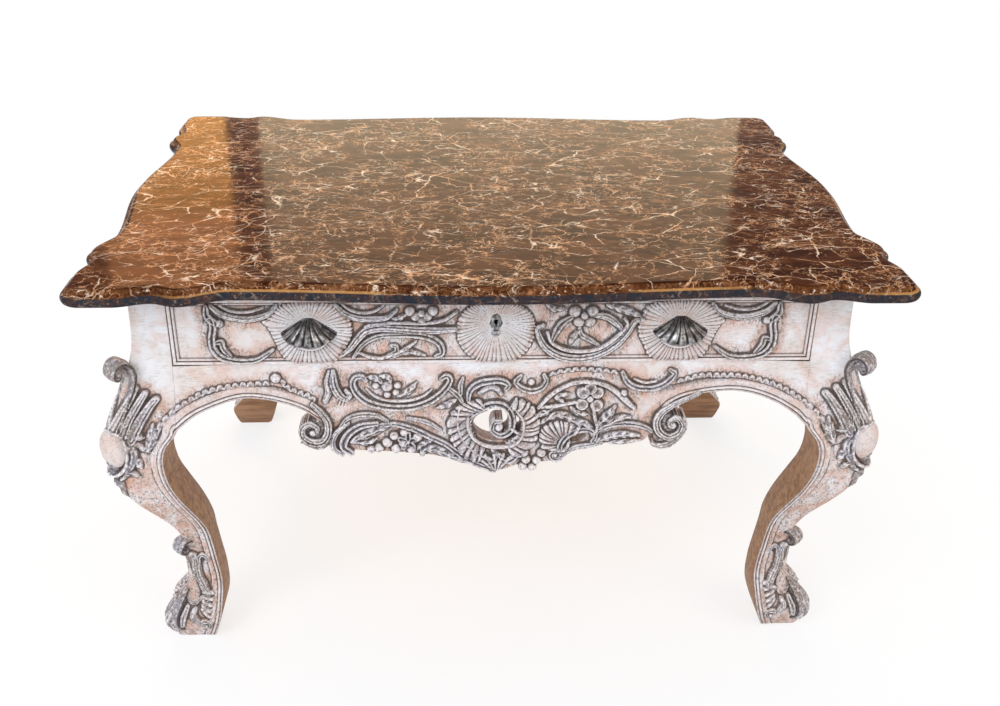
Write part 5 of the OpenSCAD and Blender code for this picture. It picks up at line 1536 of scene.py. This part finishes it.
class Shader:
    """Builds the nodes of one material or world. Patterns are placed in metres on the object."""

    def __init__(self, owner: bpy.types.Material | bpy.types.World, note: str = "") -> None:
        """Starts with no nodes but the object's coordinates.

        Args:
            owner: New material, named for the real one and how it was made, or world.
            note: What that gives the eye.
        """
        self.owner = owner
        owner.use_nodes = True
        owner["note"] = note
        self.tree = owner.node_tree
        self.tree.nodes.clear()
        self.place = self.add("TexCoord", {}, "Object")

    def add(self, kind: str, inputs: dict | None = None, output: str | int = 0,
            **settings: object) -> bpy.types.NodeSocket:
        """Adds a node with its settings, and sets or links its inputs.

        Args:
            kind: Node type, without its "ShaderNode".
            inputs: Values, hex colours or sockets by input name or number.
            output: Name or number of the output returned.
            settings: Properties of the node.

        Returns:
            The output.
        """
        node = self.tree.nodes.new("ShaderNode" + kind)
        for key, value in settings.items():
            setattr(node, key, value)
        for key, value in (inputs or {}).items():
            if isinstance(value, bpy.types.NodeSocket):
                self.tree.links.new(value, node.inputs[key])
            else:
                node.inputs[key].default_value = linear(value) if isinstance(value, str) else value
        return node.outputs[output] if node.outputs else None

    def grain(self, size: float, low: float, high: float, detail: float = 4, rough: float = 0.55,
              warp: float = 0.0, stretch: tuple[float, float, float] = (1, 1, 1),
              ends: tuple[float, float] = (0, 1)) -> bpy.types.NodeSocket:
        """Lays a cloudy pattern over the surface.

        Args:
            size: Size of its features, in millimetres.
            low: Noise value where the pattern begins.
            high: Noise value where it is full.
            detail: Finer octaves.
            rough: Weight of the finer octaves.
            warp: How far the pattern is stirred.
            stretch: Scale along X, Y and Z; under 1 draws it out.
            ends: Values at low and high.

        Returns:
            The pattern's value.
        """
        at = self.add("Mapping", {"Vector": self.place, "Scale": stretch})
        noise = self.add("TexNoise", {"Vector": at, "Scale": 1 / (size * MM), "Detail": detail,
                                      "Roughness": rough, "Distortion": warp}, "Fac")
        graded = {"Value": noise, "From Min": low, "From Max": high, "To Min": ends[0],
                  "To Max": ends[1]}
        return self.add("MapRange", graded, interpolation_type="SMOOTHSTEP")

    def over(self, below: object, above: object, *shares: object) -> bpy.types.NodeSocket:
        """Lays a colour over another one.

        Args:
            below: Colour underneath.
            above: Colour on top.
            shares: What the top colour's share is the product of: numbers, outputs, or an output
                with the values at which it begins and is full.

        Returns:
            The mixed colour.
        """
        amount: object = None
        for share in shares:
            if isinstance(share, tuple):
                graded = {"Value": share[0], "From Min": share[1], "From Max": share[2]}
                share = self.add("MapRange", graded, interpolation_type="SMOOTHSTEP")
            amount = share if amount is None else self.add("Math", {0: amount, 1: share},
                                                           operation="MULTIPLY")
        return self.add("Mix", {0: amount, 6: below, 7: above}, 2, data_type="RGBA")

    def finish(self, colour: object, roughness: object, bump: object = None, depth: float = 0.0,
               **surface: float) -> bpy.types.Material:
        """Closes the material with one surface shader.

        Args:
            colour: Base colour, linked or as hex.
            roughness: Roughness, linked or as a number.
            bump: Value whose rise is shown as relief.
            depth: Height of that relief, in millimetres.
            surface: Constants of the surface shader, by their socket names.

        Returns:
            The material.
        """
        inputs = {"Base Color": colour, "Roughness": roughness}
        inputs |= {key.replace("_", " "): value for key, value in surface.items()}
        if bump is not None:
            relief = {"Height": bump, "Distance": depth * MM, "Strength": 1.0}
            inputs["Normal"] = self.add("Bump", relief)
        self.add("OutputMaterial", {"Surface": self.add("BsdfPrincipled", inputs)})
        return self.owner


@dataclass(frozen=True)
class PolishedMarble:
    """Dark brown marble, sawn, ground and polished: crisp broken veins under a clear gloss."""

    dark: str = "#38190a"
    brown: str = "#56301a"
    cloud: str = "#8a5c3a"
    vein: str = "#dea87c"
    pale: str = "#fae4ca"
    # Dark blue-grey of a painted reflection on the bullnose
    painted_reflection: str = "#2a3038"
    # Yellow of a painted highlight along the quirk
    painted_highlight: str = "#cf9a5c"
    # Blocks between the veins, in millimetres, from the widest net to the finest
    blocks: tuple[float, ...] = (110.0, 50.0, 25.0, 14.0)
    # Heights of the top's rim and of the quirk over the bullnose, in metres
    rim: float = 0.5556
    quirk: float = 0.5484

    def make(self) -> bpy.types.Material:
        """Makes the material."""
        s = Shader(bpy.data.materials.new("marble_sawn_and_polished"),
                   "brown blocks in a broken net of cream veins, clear gloss")
        at = s.place
        # Two stirs bend the veins: a slow one, then a fine jagged one
        for size, reach in ((150, 60), (13, 5.5)):
            stir = s.add("TexNoise", {"Vector": at, "Scale": 1 / (size * MM), "Detail": 5.0,
                                      "Roughness": 0.6}, "Color")
            shift = s.add("VectorMath", {0: stir, "Scale": reach * MM}, operation="SCALE")
            at = s.add("VectorMath", {0: at, 1: shift})
        # The finer nets crowd together and leave calm dark fields between
        busy = s.grain(150, 0.44, 0.54, 4, 0.6, 1.0)
        veins = None
        for i, block in enumerate(self.blocks):
            spot = s.add("Mapping", {"Vector": at, "Rotation": (0.5 * i, 0.3, 0.25 * i),
                                     "Scale": (0.75, 1.25, 1.0)})
            gap = s.add("TexVoronoi", {"Vector": spot, "Scale": 1 / (block * MM)}, "Distance",
                        feature="DISTANCE_TO_EDGE")
            # A vein swells from a hair to 3 mm, and noise breaks it off
            width = s.grain(block * 0.35, 0.42, 0.76, 3, 0.6,
                            ends=(0.5 / block, (2.6 - 0.5 * i) / block))
            line = s.add("MapRange", {"Value": gap, "From Min": width, "From Max": 0.0})
            shown = s.grain(block * 1.1, 0.38 + 0.04 * i, 0.54 + 0.03 * i, 4, 0.65)
            part = s.add("Math", {0: line, 1: shown}, operation="MULTIPLY")
            if i > 1:
                part = s.add("Math", {0: part, 1: busy}, operation="MULTIPLY")
            veins = part if veins is None else s.add("Math", {0: veins, 1: part},
                                                     operation="MAXIMUM")
        # Hair veins along the ridges of a stirred noise
        hair = s.add("TexNoise", {"Vector": at, "Scale": 1 / (30 * MM), "Detail": 6.0,
                                  "Roughness": 0.62}, "Fac")
        ridge = s.add("Math", {0: hair, 1: 0.5, 2: 0.008}, operation="COMPARE")
        streak = (0.6, 1.3, 1.0)
        colour = s.over(self.dark, self.brown, s.grain(60, 0.38, 0.60, 6, 0.65, 1.0, streak))
        colour = s.over(colour, self.cloud, s.grain(34, 0.54, 0.68, 7, 0.7, 1.0, streak), 0.75)
        colour = s.over(colour, self.vein, s.grain(14, 0.58, 0.66, 7, 0.75, 1.5, streak), busy, 0.8)
        colour = s.over(colour, self.vein, ridge, s.grain(60, 0.40, 0.58), 0.85)
        tone = s.over(self.vein, self.pale, s.grain(20, 0.42, 0.58, 3))
        colour = s.over(colour, tone, veins)
        colour = s.over(colour, self.pale, s.grain(30, 0.665, 0.70, 7, 0.66, 1.0, streak), 0.9)
        # The moulding cuts more veins.
        up = s.add("SeparateXYZ", {0: s.place}, "Z")
        edge = s.grain(7, 0.40, 0.62, 5, 0.65, 1.0)
        colour = s.over(colour, self.cloud, (up, self.rim, self.rim - 0.001), edge, 0.6)
        colour = s.over(colour, self.pale, (up, self.rim, self.rim - 0.001),
                        s.grain(5, 0.60, 0.68, 5), 0.7)
        # Painted highlight: a thin yellow line of reflected warm light along the quirk
        colour = s.over(colour, self.painted_highlight, (up, self.quirk + 0.0012, self.quirk + 0.0006),
                        (up, self.quirk - 0.0010, self.quirk - 0.0004), s.grain(200, 0.44, 0.54, 2),
                        0.7)
        # Painted reflection: the bullnose under the quirk is painted dark blue-grey
        colour = s.over(colour, self.painted_reflection, (up, self.quirk - 0.0002, self.quirk - 0.0010),
                        s.grain(9, 0.36, 0.62, 4, ends=(0.97, 0.7)))
        return s.finish(colour, s.grain(120, 0.35, 0.7, 3, ends=(0.10, 0.06)), IOR=1.25,
                        Specular_IOR_Level=0.02)


@dataclass(frozen=True)
class AgedPaint:
    """Gesso and off-white wash on carved wood, glazed and rubbed: cool flats, warm bare wood beside
    the carving, a painted highlight on the crests and painted shade in the hollows."""

    name: str
    ground: str = "#e2dcd8"
    cool: str = "#ebecef"
    blush: str = "#ddb5a4"
    bare: str = "#c08a66"
    dirt: str = "#a08e7e"
    glaze: str = "#857a73"
    shade: str = "#4a413c"
    # The crest colour also makes a painted highlight, and the hollow colour a painted shade
    crest: str = "#f1ecec"
    hollow: str = "#332b27"
    tint: str = "#8b8da3"

    def make(self) -> bpy.types.Material:
        """Makes the material."""
        s = Shader(bpy.data.materials.new(self.name),
                   "off-white wash over warm wood, dark in the hollows, light on the crests")
        glaze, hollow, near = (s.add("Attribute", {}, "Fac", attribute_name=name)
                               for name in ("glaze", "hollow", "near"))
        up = s.add("SeparateXYZ", {0: s.place}, "Z")
        # Brush hairs are about 0.3 mm wide, drawn at 2 to 3 mm so that they show
        brush = s.grain(2.4, 0.34, 0.66, 3, 0.6, 0.0, (0.55, 0.55, 1.0))
        hatch = s.grain(3.0, 0.50, 0.61, 3, 0.6, 1.2, (1.0, 1.0, 0.55))
        cross = s.grain(2.2, 0.50, 0.66, 2, 0.5, 0.3, (0.25, 0.25, 1.4))
        speck = s.grain(6, 0.36, 0.64, 5, 0.65)
        colour = s.over(self.ground, self.cool, s.grain(90, 0.40, 0.58, 4))
        colour = s.over(colour, self.blush, s.grain(34, 0.44, 0.66, 6, 0.6, 0.6), 0.5)
        colour = s.over(colour, self.dirt, cross, s.grain(40, 0.35, 0.6, 4), 0.35)
        # Wear and old glaze lie beside the carving; the same warm, darker tones also come in below
        # 0.4 m, more towards the bottom
        low = s.add("MapRange", {"Value": up, "From Min": 0.40, "From Max": 0.20, "To Max": 0.6})
        worn = s.add("Math", {0: near, 1: low}, operation="MAXIMUM")
        colour = s.over(colour, self.blush, (worn, 0.02, 0.5), s.grain(20, 0.28, 0.50), 0.9)
        colour = s.over(colour, self.bare, (worn, 0.15, 0.9), s.grain(16, 0.46, 0.62, 6, 0.65),
                        0.55)
        colour = s.over(colour, self.dirt, (worn, 0.05, 0.8), brush, speck, 0.7)
        colour = s.over(colour, self.cool, (worn, 0.05, 0.5),
                        s.grain(20, 0.42, 0.64, 6, stretch=(1.0, 1.0, 0.5)), 0.7)
        colour = s.over(colour, self.glaze, (worn, 0.02, 0.5), hatch, 0.9)
        colour = s.over(colour, self.dirt, brush, s.grain(15, 0.4, 0.7), 0.3)
        # Glaze on the carving, streaked by the brush
        cast = s.over(self.glaze, self.tint, s.grain(50, 0.46, 0.60, 3), 0.5)
        cast = s.over(cast, self.crest, speck, s.grain(3.0, 0.42, 0.64, 3), 0.75)
        cast = s.over(cast, self.shade, s.grain(3.6, 0.48, 0.64, 4, 0.6, 0.8), 0.7)
        colour = s.over(colour, cast, glaze)
        # Painted highlight on the crests and painted shade in the hollows, by how hollow each point
        # lies
        colour = s.over(colour, self.crest, (hollow, -0.22, -1.1), s.grain(4, 0.28, 0.60, 3), 0.9)
        colour = s.over(colour, self.hollow, (hollow, 0.10, 0.8),
                        s.grain(5, 0.2, 0.5, 3, ends=(0.6, 1.0)), 0.85)
        rough = s.add("MapRange", {"Value": speck, "To Min": 0.62, "To Max": 0.48})
        return s.finish(colour, rough, speck, 0.25, Specular_IOR_Level=0.35)


@dataclass(frozen=True)
class StainedWood:
    """Planed wood, stained or left bare: long grain in two close tones."""

    name: str
    light: str
    dark: str
    roughness: float = 0.6

    def make(self) -> bpy.types.Material:
        """Makes the material."""
        s = Shader(bpy.data.materials.new(self.name), "long grain in two close tones, dull")
        grain = s.grain(9, 0.35, 0.68, 6, 0.6, 0.5, (0.12, 1.0, 1.0))
        # Pores are about 0.3 mm wide, drawn at 1.6 mm so that they show
        pores = s.grain(1.6, 0.58, 0.7, 3, 0.6, 0.0, (0.06, 1.0, 1.0))
        colour = s.over(self.light, self.dark, grain)
        colour = s.over(colour, self.dark, pores, 0.4)
        return s.finish(colour, self.roughness, grain, 0.15)


@dataclass(frozen=True)
class AgedMetal:
    """Cast or drawn metal with a worn patina: dark in the hollows, bright where hands rub it."""

    name: str
    dull: str
    bright: str
    deep: str
    roughness: float = 0.42

    def make(self) -> bpy.types.Material:
        """Makes the material."""
        s = Shader(bpy.data.materials.new(self.name), "dark patina with rubbed, brighter patches")
        wear = s.grain(9, 0.38, 0.66, 5, 0.65)
        colour = s.over(self.dull, self.bright, wear)
        hollow = s.add("Attribute", {}, "Fac", attribute_name="hollow")
        colour = s.over(colour, self.deep, (hollow, 0.15, 0.65), 0.9)
        rough = s.add("MapRange", {"Value": wear, "To Min": self.roughness + 0.1,
                                   "To Max": self.roughness - 0.08})
        return s.finish(colour, rough, s.grain(2.0, 0.3, 0.7, 3), 0.08, Metallic=1.0)


class Finish(Enum):
    """Material slots of the record. The glazed carving has the paint's material."""

    MARBLE = "brown_marble"
    PAINT = "painted_wood"
    CARVED = "glazed_carving"
    WOOD = "plain_wood"
    BRONZE = "dark_brass"
    BRASS = "brass"
    STEEL = "steel"


def make_finishes() -> dict[Finish, bpy.types.Material]:
    """Makes every finish once; the carving shares the paint's."""
    return {
        Finish.MARBLE: PolishedMarble().make(),
        Finish.PAINT: AgedPaint("wood_gessoed_painted_and_rubbed").make(),
        Finish.WOOD: StainedWood("timber_planed_and_bare", "#b08a62", "#8d6844").make(),
        Finish.BRONZE: AgedMetal("brass_cast_with_dark_patina", "#5c5a59", "#c2c1c3", "#231f1d",
                                 0.36).make(),
        Finish.BRASS: AgedMetal("brass_turned", "#8a6a35", "#c09a55", "#4a3518", 0.35).make(),
        Finish.STEEL: AgedMetal("steel_stamped", "#6b6b6d", "#9b9b9c", "#2c2c2e", 0.4).make(),
    }


def dress(piece: bpy.types.Object, *materials: bpy.types.Material) -> None:
    """Puts the materials in a new piece's slots, in order."""
    for material in materials:
        piece.data.materials.append(material)


# Stage


@dataclass(frozen=True)
class Stage:
    """White floor, soft studio lamps and the camera."""

    eye: tuple[float, float, float] = (-0.0630, -1.5606, 1.0883)
    lens: float = 40.25
    pitch: float = 27.34
    yaw: float = 3.15
    roll: float = 1.0

    def seen(self, s: Shader, share: object) -> bpy.types.NodeSocket:
        """Gives the share for rays from the camera, a gloss or a glass, and 0 for the light."""
        ray = s.tree.nodes.new("ShaderNodeLightPath").outputs
        sight = s.add("Math", {0: ray["Is Camera Ray"], 1: ray["Is Glossy Ray"]},
                      operation="MAXIMUM")
        sight = s.add("Math", {0: sight, 1: ray["Is Transmission Ray"]}, operation="MAXIMUM")
        return s.add("Math", {0: sight, 1: share}, operation="MULTIPLY")

    def floor(self) -> None:
        """Lays the white floor, which keeps a faint soft shadow."""
        half = 6000.0
        floor = new_piece("floor", np.array([(-half, -half, 0), (half, -half, 0), (half, half, 0),
                                             (-half, half, 0)], float), [(0, 1, 2, 3)])
        s = Shader(bpy.data.materials.new("paper_seamless_white"),
                   "matt white sweep, as bright as the background")
        # The sweep brightens away from the table, where it melts into the background
        away = s.add("VectorMath", {0: s.place}, "Value", operation="LENGTH")
        share = s.add("MapRange", {"Value": away, "From Min": 0.3, "From Max": 0.95,
                                   "To Min": 0.62})
        paper = s.add("BsdfDiffuse", {"Color": "#ffffff"})
        white = s.add("Emission", {"Color": "#ffffff", "Strength": 1.0})
        mixed = s.add("MixShader", {0: self.seen(s, share), 1: paper, 2: white})
        s.add("OutputMaterial", {"Surface": mixed})
        dress(floor, s.owner)

    def lamp(self, name: str, place: Sequence[float], size: Point, radiance: float, colour: str,
             level: bool = False) -> None:
        """Hangs a soft lamp that the camera doesn't see.

        Args:
            name: Name of the lamp.
            place: Its middle, in metres.
            size: Width and height, in metres.
            radiance: Brightness of its face, where 1 is white.
            colour: Its colour.
            level: True if it looks straight ahead instead of at the table.
        """
        light = bpy.data.lights.new(name, "AREA")
        light.shape, light.size, light.size_y = "RECTANGLE", *size
        light.energy, light.color = radiance * size[0] * size[1] * math.pi, linear(colour)[:3]
        lamp = bpy.data.objects.new(name, light)
        lamp.location = place
        ahead = Vector((0, -1, 0)) if level else Vector((0, 0, 0.4)) - lamp.location
        lamp.rotation_euler = ahead.to_track_quat("-Z", "Y").to_euler()
        lamp.visible_camera = False
        bpy.context.scene.collection.objects.link(lamp)

    def world(self) -> None:
        """Lights everything softly; the camera and the glosses see white."""
        world = bpy.data.worlds.new("studio")
        s = Shader(world)
        sky = s.add("Background", {"Color": "#ecf2fb", "Strength": 0.77})
        white = s.add("Background", {"Color": "#ffffff", "Strength": 1.0})
        s.add("OutputWorld", {0: s.add("MixShader", {0: self.seen(s, 1.0), 1: sky, 2: white})})
        bpy.context.scene.world = world

    def camera(self) -> None:
        """Sets the camera where the photograph was taken from."""
        pitch, yaw, roll = (math.radians(v) for v in (self.pitch, self.yaw, self.roll))
        ahead = Vector((math.sin(yaw) * math.cos(pitch), math.cos(yaw) * math.cos(pitch),
                        -math.sin(pitch)))
        right = Vector((math.cos(yaw), -math.sin(yaw), 0))
        up = right.cross(ahead)
        x = math.cos(roll) * right + math.sin(roll) * up
        y = -math.sin(roll) * right + math.cos(roll) * up
        data = bpy.data.cameras.new("camera")
        data.lens, data.sensor_width = self.lens, 36
        camera = bpy.data.objects.new("camera", data)
        turn = Matrix((x, y, -ahead)).transposed().to_4x4()
        camera.matrix_world = Matrix.Translation(self.eye) @ turn
        bpy.context.scene.collection.objects.link(camera)
        bpy.context.scene.camera = camera

    def build(self) -> None:
        """Builds the whole stage."""
        self.floor()
        self.lamp("window", (-1.9, -2.4, 2.4), (2.2, 2.2), 3.6, "#fafbff")
        self.lamp("fill", (2.4, -1.6, 1.8), (2.0, 2.0), 1.7, "#ffe0c2")
        self.lamp("back", (0.15, 2.5, 1.5), (1.78, 1.0), 7.2, "#ffeabf", True)
        self.lamp("glow", (-1.11, 2.5, 1.26), (0.5, 0.52), 13.0, "#ffb45c", True)
        self.lamp("glow_above", (-1.11, 2.5, 1.77), (0.5, 0.5), 15.0, "#ffae70", True)
        self.world()
        self.camera()
        bpy.context.scene.view_settings.view_transform = "Standard"


# Assembly

CAD_FINISH = {
    Finish.PAINT: ("back_apron", "front_rail", "drawer_rail", "drawer_front"),
    Finish.WOOD: (
        "runner_left", "runner_right", "guide_left", "guide_right", "kicker_left", "kicker_right",
        "marble_bearers", "travel_stops", "corner_braces", "drawer_stops", "drawer_side_left",
        "drawer_side_right", "drawer_back", "drawer_bottom",
    ),
    Finish.BRONZE: ("escutcheon_pins",),
    Finish.BRASS: ("pull_screws", "strike_plate", "lock_bolt"),
    Finish.STEEL: (
        "stop_screws", "brace_screws", "runner_screws", "strike_screws", "bottom_screws",
        "lock_case", "lock_screws",
    ),
}


def add_piece(
    piece: bpy.types.Object, body: str, finish: Finish, materials: Sequence[bpy.types.Material],
    *nodes: str,
) -> None:
    """Dresses a new piece, ties it to its body and hides the nodes that it stands for."""
    if materials:
        dress(piece, *materials)
    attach(piece, body)
    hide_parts(*nodes)
    LOG.info("%s: %d faces, for %s", piece.name, len(piece.data.polygons), ", ".join(nodes))


def main() -> None:
    """Builds and dresses every piece in order."""
    logging.basicConfig(level=logging.INFO, format="%(message)s")
    size = Sizes()
    finishes = make_finishes()
    paint = finishes[Finish.PAINT]
    brown = StainedWood("wood_stained_brown", "#a37d5c", "#7b573c").make()
    for finish, nodes in CAD_FINISH.items():
        for node in nodes:
            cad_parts[node].data.materials.clear()
            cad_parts[node].data.materials.append(finishes[finish])
    slab = MarbleTop(size).build()
    slab.name = "marble_slab"
    add_piece(slab, "table", Finish.MARBLE, [finishes[Finish.MARBLE]], "marble_top")
    leg = Leg(size)
    for corner in Corner:
        node = "leg_" + corner.name.lower()
        add_piece(leg.build(corner, paint, brown), "table", Finish.PAINT, (), node)
    add_piece(FrontApron(size).build(), "table", Finish.PAINT, [paint, brown], "front_apron")
    for side in (Facing.LEFT, Facing.RIGHT):
        node = "side_apron_" + side.name.lower()
        add_piece(SideApron(size).build(side), "table", Finish.PAINT, [paint, brown], node)
    add_piece(DrawerFace(size).build(), "drawer", Finish.CARVED, [paint, paint], "drawer_carving")
    for side, node in ((-1, "pull_left"), (1, "pull_right")):
        add_piece(Pull(size).build(side), "drawer", Finish.BRONZE, [finishes[Finish.BRONZE]], node)
    plate = KeyholePlate(size).build()
    add_piece(plate, "drawer", Finish.BRONZE, [finishes[Finish.BRONZE]], "keyhole_escutcheon")
    Stage().build()


if __name__ == "__main__":
    main()
